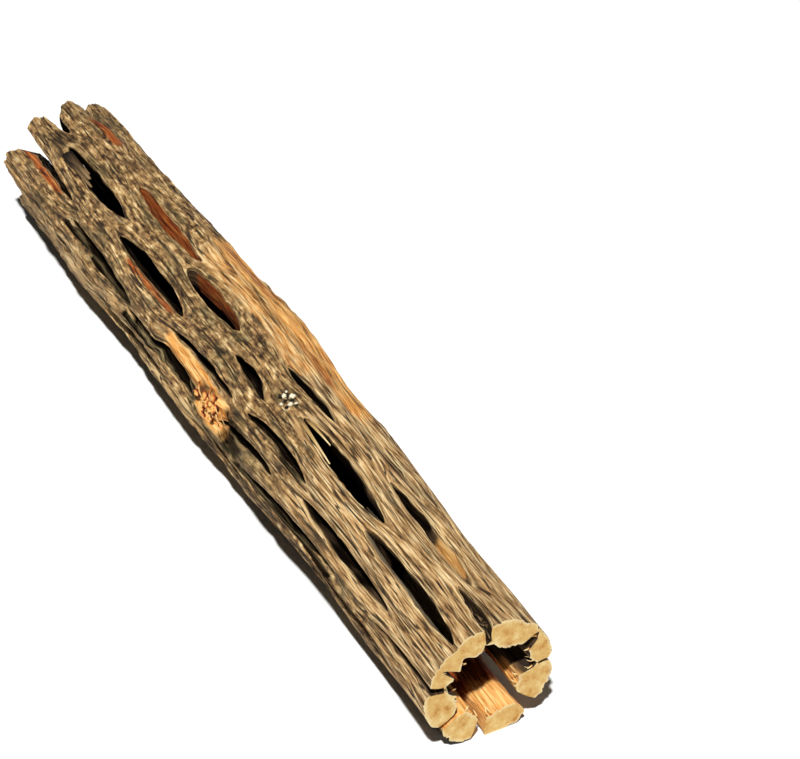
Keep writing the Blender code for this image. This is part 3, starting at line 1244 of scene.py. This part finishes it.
    def _bumps(self, turn: np.ndarray, along: np.ndarray, layer: int) -> np.ndarray:
        """Works out the low bumps of the wood, as the part's source does.

        Args:
            turn: Turn of each point, in degrees.
            along: Along of each point, in mm.
            layer: 0 on the outside, 1 in the bore.

        Returns:
            Their height, in mm.
        """
        heights = np.empty(turn.shape)
        for index in np.ndindex(turn.shape):
            angle = math.radians(turn[index])
            across = (math.cos(angle) * RADIUS, math.sin(angle) * RADIUS)
            spot = Vector((*across, along[index] / self.bump_stretch)) / self.bump_size
            heights[index] = noise.noise(spot + Vector((0, 0, BUMP_LAYER_STEP * layer)))
        return heights * 2 * self.bump_height

    def _sum(self, layers: Sequence[Ripples]) -> np.ndarray:
        """The heights of some ripples over the grid, added up."""
        return sum(ripples.over(self.rows, self.columns) for ripples in layers)

    def _grids(self, turn: np.ndarray, along: np.ndarray) -> dict[str, np.ndarray]:
        """Works out radii, wall shape, relief and colour shares at every grid point.

        Args:
            turn: Turn of each grid point.
            along: Along of each grid point.

        Returns:
            Each grid by name.
        """
        full = smooth_steps(along, RADIUS_ALONG)
        near_edge = self._edge_distance(turn, along, self.tail_stretch)
        round_off = 1 - np.clip(near_edge / self.round_reach, 0, 1)
        at_cut = (1 - self.cut_round_share) * np.clip(1 - along / self.cut_round_fade, 0, 1)
        round_off = round_off * round_off * (1 - at_cut)
        relief, groove = self._outer_relief(turn, along, near_edge)
        outer = full - self.outer_round * round_off + self._bumps(turn, along, 0) + relief
        outer -= self.torn_depth * self._torn_share(np.mod(turn, 360), along)
        fade = np.clip(along / BORE_FADE, 0, 1)
        share = smooth_steps(turn, BORE_AT_CUT, 360) * (1 - fade) + BORE_SHARE * fade
        inner = full * share + self.inner_round * round_off + self._bumps(turn, along, 1)
        inner += self._sum(self.bore_relief)
        inner += self._sum(self.ragged) * np.exp(-along / self.ragged_length)
        inner += self.flare_inside * self.flare * self._flare_share(turn, along)
        edge = self._edge_distance(turn, along, 1.0)
        return {
            "turn": turn,
            "along": along,
            "outer": outer,
            "inner": inner,
            "groove": groove,
            "rim": ease(1 - edge / self.rim_reach) * self.rim_share,
            "push": self._wall_push(),
            "fibre": self._sum([self.wall_fibre]),
        }

    def _outer_relief(
        self, turn: np.ndarray, along: np.ndarray, near_edge: np.ndarray
    ) -> tuple[np.ndarray, np.ndarray]:
        """Works out ridges, grooves and local forms of the outside.

        Args:
            turn: Turn of each grid point.
            along: Along of each grid point.
            near_edge: Distance of each grid point to a slot's edge.

        Returns:
            The height in mm, and the share of painted shade on a groove's floor, from 0 to 1.
        """
        line = np.abs(self._sum([self.cracks]))
        broken = ease(self._sum([self.crack_breaks]) + self.crack_level)
        groove = ease(1 - line / self.crack_width) * broken * ease(near_edge / self.crack_clear)
        rough = self._sum([self.rough]) * ease((along - self.rough_from) / self.rough_over)
        gold = share_of(Tone.GOLD, turn, along, inside=False)
        rough_worn, groove_worn = (1 - worn * gold for worn in self.gold_smoothing)
        relief = self._sum([self.ribs]) + rough * rough_worn - self.crack_depth * groove * groove_worn
        for hill in self.hills:
            relief += hill.over(turn, along)
        relief += self._ridge(turn, along)
        relief += self.nub.over(turn, along) * (self.nub_height + self._sum([self.nub_lumps]))
        relief -= self.cut_wear * np.exp(-along / self.cut_wear_length)
        relief += self.flare * self._flare_share(turn, along)
        return relief, groove * self.crack_dark

    def _ridge(self, turn: np.ndarray, along: np.ndarray) -> np.ndarray:
        """Works out the bowed ridge above a slot.

        Args:
            turn: Turn of each point, in degrees.
            along: Along of each point, in mm.

        Returns:
            Its height at each point, in mm.
        """
        off_along = along - self.ridge_at[0]
        off_turn = np.mod(turn, 360) - self.ridge_at[1] + self.ridge_bow * off_along**2
        across = np.exp(-((off_turn / self.ridge_width) ** 2))
        return self.ridge_height * across * ease(1 - np.abs(off_along) / self.ridge_length)

    def _flare_share(self, turn: np.ndarray, along: np.ndarray) -> np.ndarray:
        """Says how much of the swelling at the sawn end each point has.

        Args:
            turn: Turn of each point, in degrees.
            along: Along of each point, in mm.

        Returns:
            1 where the stem swells most, 0 away from the sawn end.
        """
        side = 1 - self.flare_side + self.flare_side * np.cos(np.radians(turn - self.flare_turn))
        return side * np.exp(-along / self.flare_length)

    def _wall_push(self) -> np.ndarray:
        """Makes the slots' walls swell towards their slots.

        Returns:
            How far each grid point's wall swells, in degrees of turn.
        """
        push = np.zeros((self.rows + 1, self.columns))
        for slot in self.slots:
            column, rows = self._slot_cells(slot)
            along = np.linspace(max(slot.start, 0), min(slot.end, LENGTH), len(rows))
            half = self._slot_line(slot, along)[1]
            swell = np.minimum(math.degrees(self.wall_bulge / RADIUS), self.wall_share * half)
            push[rows, column] = swell
            push[rows, (column + 1) % self.columns] = -swell
        return push

    def _unit_tube(self) -> bmesh.types.BMesh:
        """Makes the tube with each slot cut out, one grid column wide.

        Returns:
            A tube of radius 1 from z = -1 to 1, with the sawn end at the top.
        """
        tube = bmesh.new()
        bmesh.ops.create_cone(tube, cap_ends=False, segments=self.columns, radius1=1, radius2=1, depth=2)
        long_edges = [e for e in tube.edges if abs(e.verts[0].co.z - e.verts[1].co.z) > 1]
        bmesh.ops.subdivide_edges(tube, edges=long_edges, cuts=self.rows - 1, use_grid_fill=True)
        gone = set()
        for slot in self.slots:
            column, rows = self._slot_cells(slot)
            gone.update((column, row) for row in rows[:-1].tolist())
        cut = []
        for face in tube.faces:
            middle = face.calc_center_median()
            column = int(math.degrees(math.atan2(middle.y, middle.x)) % 360 / (360 / self.columns))
            row = int((1 - middle.z) / 2 * self.rows)
            if (column, row) in gone:
                cut.append(face)
        bmesh.ops.delete(tube, geom=cut, context="FACES")
        bmesh.ops.solidify(tube, geom=tube.faces[:], thickness=UNIT_WALL)
        reach = {vert: vert.co.xy.length for vert in tube.verts}
        walls = [e for e in tube.edges if abs(reach[e.verts[0]] - reach[e.verts[1]]) > UNIT_WALL / 2]
        bmesh.ops.subdivide_edges(tube, edges=walls, cuts=self.wall_cuts, use_grid_fill=True)
        return tube

    def _addresses(self, mesh: bpy.types.Mesh) -> Address:
        """Reads where each vertex of the unit tube lies.

        Args:
            mesh: The unit tube.

        Returns:
            Grid line, grid row and depth of each vertex.
        """
        places = np.empty(len(mesh.vertices) * 3)
        mesh.vertices.foreach_get("co", places)
        x, y, z = places.reshape(-1, 3).T
        line = np.round(np.degrees(np.arctan2(y, x)) / (360 / self.columns)).astype(int) % self.columns
        row = np.round((1 - z) / 2 * self.rows).astype(int)
        return Address(line, row, np.clip((1 - np.hypot(x, y)) / UNIT_WALL, 0, 1))

    def _form(self, mesh: bpy.types.Mesh, grids: dict[str, np.ndarray], at: Address) -> None:
        """Carries each vertex of the unit tube to its place on the stem, in metres.

        Args:
            mesh: The unit tube.
            grids: The grids that _grids makes.
            at: Where each vertex lies on them.
        """
        names = ("along", "outer", "inner", "turn", "push", "fibre")
        along, outer, inner, turn, push, fibre = (grids[name][at.row, at.line] for name in names)
        share = (along - self.tip_stretch_from) / (LENGTH - self.tip_stretch_from)
        along = along + self.tip_stretch * np.clip(share, 0, 1) ** self.tip_stretch_power
        belly = np.sin(math.pi * at.depth)
        turn = turn + push * belly + fibre * belly * (np.abs(push) > 0)
        radius = outer * (1 - at.depth) + inner * at.depth
        angle = np.radians(turn)
        side = smooth_steps(along, SIDE_ALONG) + CENTRING[1]
        height = smooth_steps(along, RADIUS_ALONG) - FLAT_DEPTH
        x = LENGTH / 2 - along + CENTRING[0]
        y = side + radius * np.cos(angle)
        z = np.maximum(height + radius * np.sin(angle), 0)
        mesh.vertices.foreach_set("co", (np.stack([x, y, z], axis=1) / MM_PER_METRE).ravel())
        mesh.update()

    def _mark(self, mesh: bpy.types.Mesh, grids: dict[str, np.ndarray], at: Address) -> None:
        """Writes the attributes that the finishes read.

        Args:
            mesh: The stem.
            grids: The grids that _grids makes.
            at: Where each vertex lies on them.
        """
        names = ("turn", "along", "rim", "groove")
        turn, along, rim, groove = (grids[name][at.row, at.line] for name in names)
        angle = 2 * math.pi * at.line / self.columns
        reach = RADIUS * (1 - UNIT_WALL * at.depth)
        x, y, z = np.cos(angle) * reach, np.sin(angle) * reach, at.row / self.rows * LENGTH
        grain = np.stack([x, y, z], axis=1)
        mesh.attributes.new("grain", "FLOAT_VECTOR", "POINT").data.foreach_set("vector", grain.ravel())
        skin = 1 - ease(at.depth / self.skin_depth)
        aged = share_of(Tone.AGED, turn, along, inside=False)
        # The broken end shows its whole thickness, and it is as weathered as the outside.
        shares = {
            "depth": np.where(at.row == self.rows, at.depth * self.skin_depth, at.depth),
            "rim": rim * skin * (1 - self.rim_aged * aged),
            "groove": groove * skin,
        }
        for tone in Tone:
            outside, inside = (share_of(tone, turn, along, inside=place) for place in (False, True))
            shares[tone.value] = outside * skin + inside * (1 - skin)
        for name, share in shares.items():
            data = mesh.attributes.new(name, "FLOAT", "POINT").data
            data.foreach_set("value", np.asarray(share, np.float32))

    @staticmethod
    def _dress(mesh: bpy.types.Mesh, at: Address) -> None:
        """Gives the faces of the saw cut the sawn finish, and all others the weathered one.

        Args:
            mesh: The stem.
            at: Where each vertex lies on the grid.
        """
        mesh.materials.append(WeatheredWood().build())
        mesh.materials.append(SawnWood().build())
        at_cut = at.row == 0
        for face in mesh.polygons:
            if all(at_cut[v] for v in face.vertices):
                face.material_index = 1


def plain_form(name: str, made: bmesh.types.BMesh) -> bpy.types.Mesh:
    """Turns a bmesh into a mesh, to be kept or copied, and frees it.

    Args:
        name: The mesh's name.
        made: The bmesh.

    Returns:
        The mesh.
    """
    mesh = bpy.data.meshes.new(name)
    made.to_mesh(mesh)
    made.free()
    return mesh


def straight_splinter() -> bpy.types.Mesh:
    """Makes the plain form of a splinter.

    Returns:
        A straight, tapered splinter of radius 1 from z = 0 to 1, to be bent into each fibre.
    """
    made = bmesh.new()
    size = {"segments": 6, "radius1": 1, "radius2": 0.25, "depth": 1}
    bmesh.ops.create_cone(made, cap_ends=True, matrix=Matrix.Translation((0, 0, 0.5)), **size)
    sides = [e for e in made.edges if abs(e.verts[0].co.z - e.verts[1].co.z) > 0.5]
    bmesh.ops.subdivide_edges(made, edges=sides, cuts=4, use_grid_fill=True)
    return plain_form("straight_splinter", made)


def round_ball() -> bpy.types.Mesh:
    """Makes the plain form of a knob.

    Returns:
        A ball of radius 1, to be squeezed into each knob.
    """
    made = bmesh.new()
    bmesh.ops.create_icosphere(made, subdivisions=3, radius=1.0)
    return plain_form("round_ball", made)


@dataclass(frozen=True)
class Fibre:
    """One bent, tapered splinter of wood.

    Args:
        root: Where it starts, in metres.
        tip: Where it ends, in metres.
        lift: How far its middle stands off the straight line, in metres.
        width: Half its width at the root, in mm.
        flat: Its thickness as a share of its width.
        finish: Number of its material in the piece.
    """

    root: Vector
    tip: Vector
    lift: Vector
    width: float
    flat: float = 0.6
    finish: int = 0

    def bend(self, verts: Sequence[bmesh.types.BMVert], reach: bmesh.types.BMLayerItem) -> None:
        """Bends a straight splinter into the fibre.

        Args:
            verts: The splinter's vertices.
            reach: Layer that gets 0 at the root and 1 at the tip.
        """
        way = self.tip - self.root
        across = way.cross(self.lift).normalized()
        up = across.cross(way).normalized()
        width = self.width / MM_PER_METRE
        for vert in verts:
            share = vert.co.z
            vert[reach] = share
            middle = self.root + way * share + self.lift * (4 * share * (1 - share))
            offset = across * vert.co.x * width + up * vert.co.y * width * self.flat
            vert.co = middle + offset


@dataclass(frozen=True)
class Knob:
    """One lumpy knob of wood or wool, sunk to its waist in the stem.

    Args:
        along: Its place along the stem, in mm.
        turn: Its turn, in degrees.
        size: Its radius, in mm.
        ground: Distance of its middle from the stem's middle line, in mm.
        long: Its length along the stem, as a share of its width.
        finish: Number of its material in the piece.
        flat: Its height as a share of its width.
        lumps: Height of its lumps, as a share of its radius.
        lump_size: How many lumps fit its radius.
    """

    along: float
    turn: float
    size: float
    ground: float
    long: float = 1.0
    finish: int = 0
    flat: float = 0.7
    lumps: float = 0.6
    lump_size: float = 1.7

    def bend(self, verts: Sequence[bmesh.types.BMVert], reach: bmesh.types.BMLayerItem) -> None:
        """Squeezes a ball into the knob.

        Args:
            verts: The ball's vertices.
            reach: Layer that gets 0 at the waist and 1 at the top.
        """
        ground = on_stem(self.along, self.turn, self.ground)
        up = (on_stem(self.along, self.turn, self.ground + 1) - ground).normalized()
        side = Vector((self.long, 0, 0))
        across = up.cross(side).normalized()
        layer = Vector((self.along, self.turn, 0))
        for vert in verts:
            vert[reach] = max(vert.co.z, 0)
            lump = 1 + self.lumps * noise.noise(vert.co * self.lump_size + layer)
            spread = side * vert.co.x + across * vert.co.y + up * vert.co.z * self.flat
            vert.co = ground + spread * lump * self.size / MM_PER_METRE


def joined_piece(
    name: str, form: bpy.types.Mesh, parts: Sequence[Fibre | Knob], finishes: Sequence[SplitWood]
) -> bpy.types.Object:
    """Bends copies of a plain form and joins them into one dressed piece.

    Args:
        name: The piece's name.
        form: The plain form.
        parts: What each copy becomes.
        finishes: The piece's finishes, in the order of the parts' numbers.

    Returns:
        The piece.
    """
    made = bmesh.new()
    made.verts.layers.float.new(REACH)
    for part in parts:
        first_vert, first_face = len(made.verts), len(made.faces)
        made.from_mesh(form)
        made.verts.ensure_lookup_table()
        made.faces.ensure_lookup_table()
        for face in made.faces[first_face:]:
            face.material_index = part.finish
        part.bend(made.verts[first_vert:], made.verts.layers.float[REACH])
    bmesh.ops.recalc_face_normals(made, faces=made.faces[:])
    mesh = plain_form(name, made)
    for finish in finishes:
        mesh.materials.append(finish.build())
    mesh.shade_smooth()
    return link_piece(name, mesh)


@dataclass
class FibreTufts:
    """Splinters that stand up from the saw cut, the torn strand and the slots, as one piece each.

    Sizes are in mm and turns in degrees. A pair is the least and the most of a random draw.

    Args:
        seed: Seed of the random draws.
        sawn: How many splinters hang into the bore at the saw cut.
        sawn_sunk: How deep their roots lie in the wood, and how far behind the cut.
        sawn_tip: Place of their tips along the stem.
        sawn_turn: How far their tips are turned.
        sawn_proud: How far their tips stand into the bore.
        sawn_lift: How far they bend out of the cut.
        sawn_width: Half their width.
        torn: How many fibres the torn strand's end has.
        torn_along: Middle and spread of their places along the stem.
        torn_turn: Middle and spread of their turns.
        torn_ground: Distance of the torn strand's skin from the stem's middle line.
        torn_root: How far their roots lie behind them, turned and sunk.
        torn_tip: How far their tips reach forward.
        torn_tip_turn: How far their tips are turned.
        torn_proud: How far their tips stand up.
        torn_lift: How far they bend.
        torn_width: Half their width.
        slivers: Root and tip (along, turn), their distances from the middle line, and half the width.
        sliver_lift: How far the slivers bend.
        sliver_flat: Their thickness as a share of their width.
        ledge: The lines of the ledge of split wood before the broken end, as the slivers are given.
        ledge_lift: How far they bend.
        ledge_flat: Their thickness as a share of their width.
        shreds: How many ragged shreds fill the slot at the saw cut.
        shred_along: Their places along the stem.
        shred_turn: Their turns.
        shred_root: How far their roots lie behind them.
        shred_root_turn: How far their roots are turned.
        shred_low: Distance of their roots from the middle line.
        shred_tip: How far their tips reach forward.
        shred_tip_turn: How far their tips are turned.
        shred_high: Distance of their tips from the middle line.
        shred_lift: How far they bend.
        shred_width: Half their width.
    """

    seed: int = 5
    sawn: int = 20
    sawn_sunk: Pair = (0.7, 0.3)
    sawn_tip: Pair = (0.2, 2.0)
    sawn_turn: Pair = (-4, 4)
    sawn_proud: Pair = (0.1, 0.8)
    sawn_lift: Pair = (0, 0.3)
    sawn_width: Pair = (0.18, 0.4)
    torn: int = 26
    torn_along: Pair = (122, 2.7)
    torn_turn: Pair = (159.5, 3.4)
    torn_ground: float = 19.0
    torn_root: Spot = (1.5, 3.0, 0.4)
    torn_tip: Pair = (1.5, 3.5)
    torn_tip_turn: Pair = (1, 5)
    torn_proud: Pair = (0.1, 0.9)
    torn_lift: Pair = (0.2, 0.6)
    torn_width: Pair = (0.25, 0.5)
    slivers: tuple[tuple, ...] = (
        ((93.0, 107.0), (74.0, 110.4), 19.2, 18.6, 0.75),
        ((91.0, 102.8), (79.5, 100.6), 19.2, 18.6, 0.65),
    )
    sliver_lift: Pair = (0.1, 0.4)
    sliver_flat: float = 0.7
    ledge: tuple[tuple, ...] = (
        ((235.0, 116.0), (221.0, 113.8), 18.6, 17.6, 1.9),
        ((233.0, 119.0), (217.5, 117.4), 18.6, 17.8, 1.3),
        ((231.0, 114.0), (223.5, 111.0), 18.0, 17.2, 0.9),
    )
    ledge_lift: float = 0.3
    ledge_flat: float = 0.5
    shreds: int = 30
    shred_along: Pair = (1.5, 13)
    shred_turn: Pair = (88, 95)
    shred_root: float = 2.5
    shred_root_turn: Pair = (-3, 3)
    shred_low: Pair = (14.0, 16.2)
    shred_tip: Pair = (0.2, 2.5)
    shred_tip_turn: Pair = (-2, 4)
    shred_high: Pair = (13.5, 16.8)
    shred_lift: Pair = (0, 0.5)
    shred_width: Pair = (0.25, 0.5)

    def build(self) -> list[bpy.types.Object]:
        """Builds the tufts, slivers, ledge and shreds.

        Returns:
            The pieces.
        """
        draw = random.Random(self.seed)
        # Fresh splinters of the saw cut shine straw-yellow against the dark bore, with painted shade at
        # their roots.
        straw = SplitWood("split_straw_fibre", ((0.1, "#B57434"), (0.4, "#DDAA62"), (0.8, "#F5DEA4")))
        # Torn fibres are rust-red at their roots, where rain hasn't washed them out, and painted shade
        # darkens the roots further.
        rust = SplitWood("torn_rust_fibre", ((0.1, "#6A220A"), (0.4, "#C87836"), (0.8, "#F3C680")))
        # Old slivers are bleached dry and pale to their tips, with painted shade at their roots.
        pale = SplitWood("dry_pale_splinter", ((0.1, "#7A5E36"), (0.5, "#BC9A62"), (0.9, "#E6CC98")))
        # Old split wood under an edge is grey-brown and dull, with painted shade making it near-black
        # towards its roots.
        brown = SplitWood("split_wood_grey_and_shade", ((0.2, "#1C130A"), (0.55, "#4E3B25"), (1.0, "#8E7350")))
        lifts = [self.ledge_lift] * len(self.ledge)
        tufts = (
            ("sawn_end_fibres", self._sawn(draw), straw),
            ("torn_strand_fibres", self._torn(draw), rust),
            ("slot_splinters", self._slivers(draw), pale),
            ("slot_ledge", self._lines(self.ledge, lifts, self.ledge_flat), brown),
            ("slot_shreds", self._shreds(draw), brown),
        )
        form = straight_splinter()
        pieces = [joined_piece(name, form, fibres, (finish,)) for name, fibres, finish in tufts]
        bpy.data.meshes.remove(form)
        return pieces

    def _sawn(self, draw: random.Random) -> list[Fibre]:
        """Lays short splinters that hang into the bore round the saw cut.

        Args:
            draw: The random draws.

        Returns:
            The splinters.
        """
        fibres = []
        full = float(smooth_steps(0.0, RADIUS_ALONG))
        sunk, behind = self.sawn_sunk
        for _ in range(self.sawn):
            turn = draw.uniform(0, 360)
            bore = full * float(smooth_steps(turn, BORE_AT_CUT, 360))
            root = on_stem(behind, turn, bore + sunk)
            along, turned = draw.uniform(*self.sawn_tip), draw.uniform(*self.sawn_turn)
            tip = on_stem(along, turn + turned, bore - draw.uniform(*self.sawn_proud))
            lift = Vector((draw.uniform(*self.sawn_lift), 0, 0)) / MM_PER_METRE
            fibres.append(Fibre(root, tip, lift, draw.uniform(*self.sawn_width)))
        return fibres

    def _torn(self, draw: random.Random) -> list[Fibre]:
        """Lays slanting fibres on the torn end of the sunken strand.

        Args:
            draw: The random draws.

        Returns:
            The fibres.
        """
        fibres = []
        behind, turned, sunk = self.torn_root
        for _ in range(self.torn):
            along, turn = draw.gauss(*self.torn_along), draw.gauss(*self.torn_turn)
            reach, tip_turn = draw.uniform(*self.torn_tip), turn + draw.uniform(*self.torn_tip_turn)
            root = on_stem(along + behind, turn - turned, self.torn_ground - sunk)
            tip = on_stem(along - reach, tip_turn, self.torn_ground + draw.uniform(*self.torn_proud))
            out = (tip - on_stem(along, turn, 0.0)).normalized()
            lift = out * draw.uniform(*self.torn_lift) / MM_PER_METRE
            fibres.append(Fibre(root, tip, lift, draw.uniform(*self.torn_width)))
        return fibres

    def _slivers(self, draw: random.Random) -> list[Fibre]:
        """Two long slivers that have come away from the edges of a slot, each with its own bend."""
        lifts = [draw.uniform(*self.sliver_lift) for _ in self.slivers]
        return self._lines(self.slivers, lifts, self.sliver_flat)

    @staticmethod
    def _lines(lines: Sequence[tuple], lifts: Sequence[float], flat: float) -> list[Fibre]:
        """Lays long fibres one by one.

        Args:
            lines: Root and tip (along, turn), their distances from the middle line, and half the width.
            lifts: How far each bends upwards, in mm.
            flat: Their thickness as a share of their width.

        Returns:
            The fibres.
        """
        fibres = []
        for (start, end, high, low, width), lift in zip(lines, lifts, strict=True):
            up = Vector((0, 0, lift)) / MM_PER_METRE
            fibres.append(Fibre(on_stem(*start, high), on_stem(*end, low), up, width, flat))
        return fibres

    def _shreds(self, draw: random.Random) -> list[Fibre]:
        """Lays short ragged shreds that fill the slot at the saw cut.

        Args:
            draw: The random draws.

        Returns:
            The shreds.
        """
        fibres = []
        for _ in range(self.shreds):
            along, turn = draw.uniform(*self.shred_along), draw.uniform(*self.shred_turn)
            root_turn = turn + draw.uniform(*self.shred_root_turn)
            root = on_stem(along + self.shred_root, root_turn, draw.uniform(*self.shred_low))
            tip_along = along - draw.uniform(*self.shred_tip)
            tip_turn = turn + draw.uniform(*self.shred_tip_turn)
            tip = on_stem(tip_along, tip_turn, draw.uniform(*self.shred_high))
            lift = Vector((0, 0, draw.uniform(*self.shred_lift))) / MM_PER_METRE
            fibres.append(Fibre(root, tip, lift, draw.uniform(*self.shred_width)))
        return fibres


@dataclass
class Knobs:
    """Small round forms on the skin: the old spine cushions, and the knobbly end of the torn strand.

    Args:
        cushions: Along, turn and radius in mm of each woolly cushion.
        cushion_ground: Distance of their middles from the stem's middle line, in mm.
        pits: Along, turn and radius in mm of each near-black knob of painted shade that stands for a pit
            between them.
        pit_ground: Distance of their middles from the middle line, in mm.
        torn: How many knobs the torn end has.
        torn_along: Middle and spread of their places along the stem, in mm.
        torn_turn: Middle and spread of their turns, in degrees.
        torn_size: Least and most radius, in mm.
        torn_ground: Least and most distance of their middles from the middle line, in mm.
        torn_long: Least and most length, as a share of their width.
        seed: Seed of their places.
    """

    cushions: tuple[Spot, ...] = (
        (101.7, 105.8, 0.75), (100.1, 101.2, 0.95), (97.9, 106.2, 0.75), (99.7, 111.4, 0.6),
        (102.7, 102.4, 0.45), (97.3, 102.2, 0.45),
    )  # fmt: skip
    cushion_ground: float = 20.2
    pits: tuple[Spot, ...] = (
        (102.3, 108.4, 0.55), (101.0, 103.4, 0.5), (98.9, 103.4, 0.5), (99.9, 107.4, 0.45),
        (97.6, 109.6, 0.45),
    )  # fmt: skip
    pit_ground: float = 20.35
    torn: int = 22
    torn_along: Pair = (122.5, 2.7)
    torn_turn: Pair = (159.5, 3.3)
    torn_size: Pair = (0.6, 1.15)
    torn_ground: Pair = (19.2, 20.0)
    torn_long: Pair = (1.0, 1.8)
    seed: int = 8

    def build(self) -> list[bpy.types.Object]:
        """Builds the cushions and the torn strand's end.

        Returns:
            The two pieces.
        """
        # Felted wool of the spine cushions is soft to the eye and nearly white where it is dry, with
        # painted shade towards its waist.
        wool = SplitWood("dry_areole_wool", ((0.1, "#6E5C3C"), (0.45, "#B0A07A"), (0.85, "#E9E0C4")))
        # Painted shade: near-black knobs stand for the shade in the pits that the spines left.
        pit = SplitWood("areole_pit_shade", ((0.1, "#050302"), (0.5, "#0E0A07"), (0.9, "#1E160E")))
        # Torn wood is rust-red in its hollows and gold where it stands out, and painted shade darkens each
        # knob towards its waist.
        gold = SplitWood("torn_gold_knob", ((0.28, "#4A1404"), (0.6, "#B4561C"), (0.95, "#F2BE6C")))
        cushions = [Knob(*place, ground=self.cushion_ground) for place in self.cushions]
        cushions += [Knob(*place, ground=self.pit_ground, finish=1) for place in self.pits]
        draw = random.Random(self.seed)
        knobs = []
        for _ in range(self.torn):
            place = draw.gauss(*self.torn_along), draw.gauss(*self.torn_turn)
            sizes = [draw.uniform(*pair) for pair in (self.torn_size, self.torn_ground, self.torn_long)]
            knobs.append(Knob(*place, *sizes))
        form = round_ball()
        pieces = [
            joined_piece("areole_cushions", form, cushions, (wool, pit)),
            joined_piece("torn_strand_knobs", form, knobs, (gold,)),
        ]
        bpy.data.meshes.remove(form)
        return pieces


@dataclass
class Studio:
    """A white paper floor, a far overhead light, a low one before the sawn end, and the camera.

    Args:
        floor_side: Side of the square floor, in metres.
        key_from: Direction that the overhead light comes from.
        key_power: Its power on the floor, in watts per square metre.
        key_spread: How wide it looks from the stem, in degrees.
        front_at: Place of the low light, in metres.
        front_side: Its side, in metres.
        front_power: Its power, in watts.
        sky_strength: Strength of the even surround.
        camera_at: The camera's place in metres, fitted to the photograph's view.
        camera_forward: Direction in which it looks.
        camera_lens: Its focal length, in mm.
        camera_sensor: Width of its sensor, in mm.
    """

    floor_side: float = 12.0
    key_from: Spot = (0.74, -0.5, 1.8)
    key_power: float = 4.3
    key_spread: float = 3.0
    front_at: Spot = (1.2, 0.2, 0.2)
    front_side: float = 0.4
    front_power: float = 1.3
    sky_strength: float = 0.035
    camera_at: Spot = (0.674260, -0.317325, 0.612760)
    camera_forward: Spot = (-0.691506, 0.369593, -0.620661)
    camera_lens: float = 157.5
    camera_sensor: float = 36.0

    def build(self) -> None:
        """Builds the floor, lights, sky and camera."""
        self._floor()
        key = bpy.data.lights.new("key", "SUN")
        key.angle = math.radians(self.key_spread)
        key.energy = self.key_power
        self._place(key, self.key_from)
        front = bpy.data.lights.new("front", "AREA")
        front.size = self.front_side
        front.energy = self.front_power
        self._place(front, self.front_at)
        self._sky()
        self._camera()

    def _floor(self) -> None:
        """Makes the paper floor."""
        made = bmesh.new()
        bmesh.ops.create_grid(made, x_segments=4, y_segments=4, size=self.floor_side / 2)
        mesh = plain_form("paper_floor", made)
        mesh.materials.append(StudioPaper().build())
        floor = bpy.data.objects.new("paper_floor", mesh)
        bpy.context.scene.collection.objects.link(floor)

    @staticmethod
    def _place(lamp: bpy.types.Light, at: Spot) -> None:
        """Hangs a light and turns it to the stem.

        Args:
            lamp: The light.
            at: Its place, in metres.
        """
        light = bpy.data.objects.new(lamp.name, lamp)
        light.location = at
        light.rotation_euler = (-Vector(at)).to_track_quat("-Z", "Y").to_euler()
        bpy.context.scene.collection.objects.link(light)

    def _sky(self) -> None:
        """Makes an even white surround."""
        world = bpy.data.worlds.new("white_surround")
        world.use_nodes = True
        sockets = {"Color": (1, 1, 1, 1), "Strength": self.sky_strength}
        fill(world.node_tree, world.node_tree.nodes["Background"], sockets)
        bpy.context.scene.world = world

    def _camera(self) -> None:
        """Makes the camera at the photograph's place."""
        data = bpy.data.cameras.new("photograph_view")
        data.lens = self.camera_lens
        data.sensor_width = self.camera_sensor
        camera = bpy.data.objects.new("photograph_view", data)
        forward = Vector(self.camera_forward)
        right = forward.cross(Vector((0, 0, 1))).normalized()
        turned = Matrix((right, right.cross(forward), -forward)).transposed().to_4x4()
        camera.matrix_world = Matrix.Translation(self.camera_at) @ turned
        bpy.context.scene.collection.objects.link(camera)
        bpy.context.scene.camera = camera


def main() -> None:
    """Builds the stem, its small details and the studio, and reports each piece."""
    bpy.context.scene.view_settings.view_transform = "Standard"
    pieces = [Skeleton().build(), *FibreTufts().build(), *Knobs().build()]
    for piece in pieces:
        triangles = sum(len(face.vertices) - 2 for face in piece.data.polygons)
        LOG.info("%s: %d triangles", piece.name, triangles)
    Studio().build()


if __name__ == "__main__":
    main()
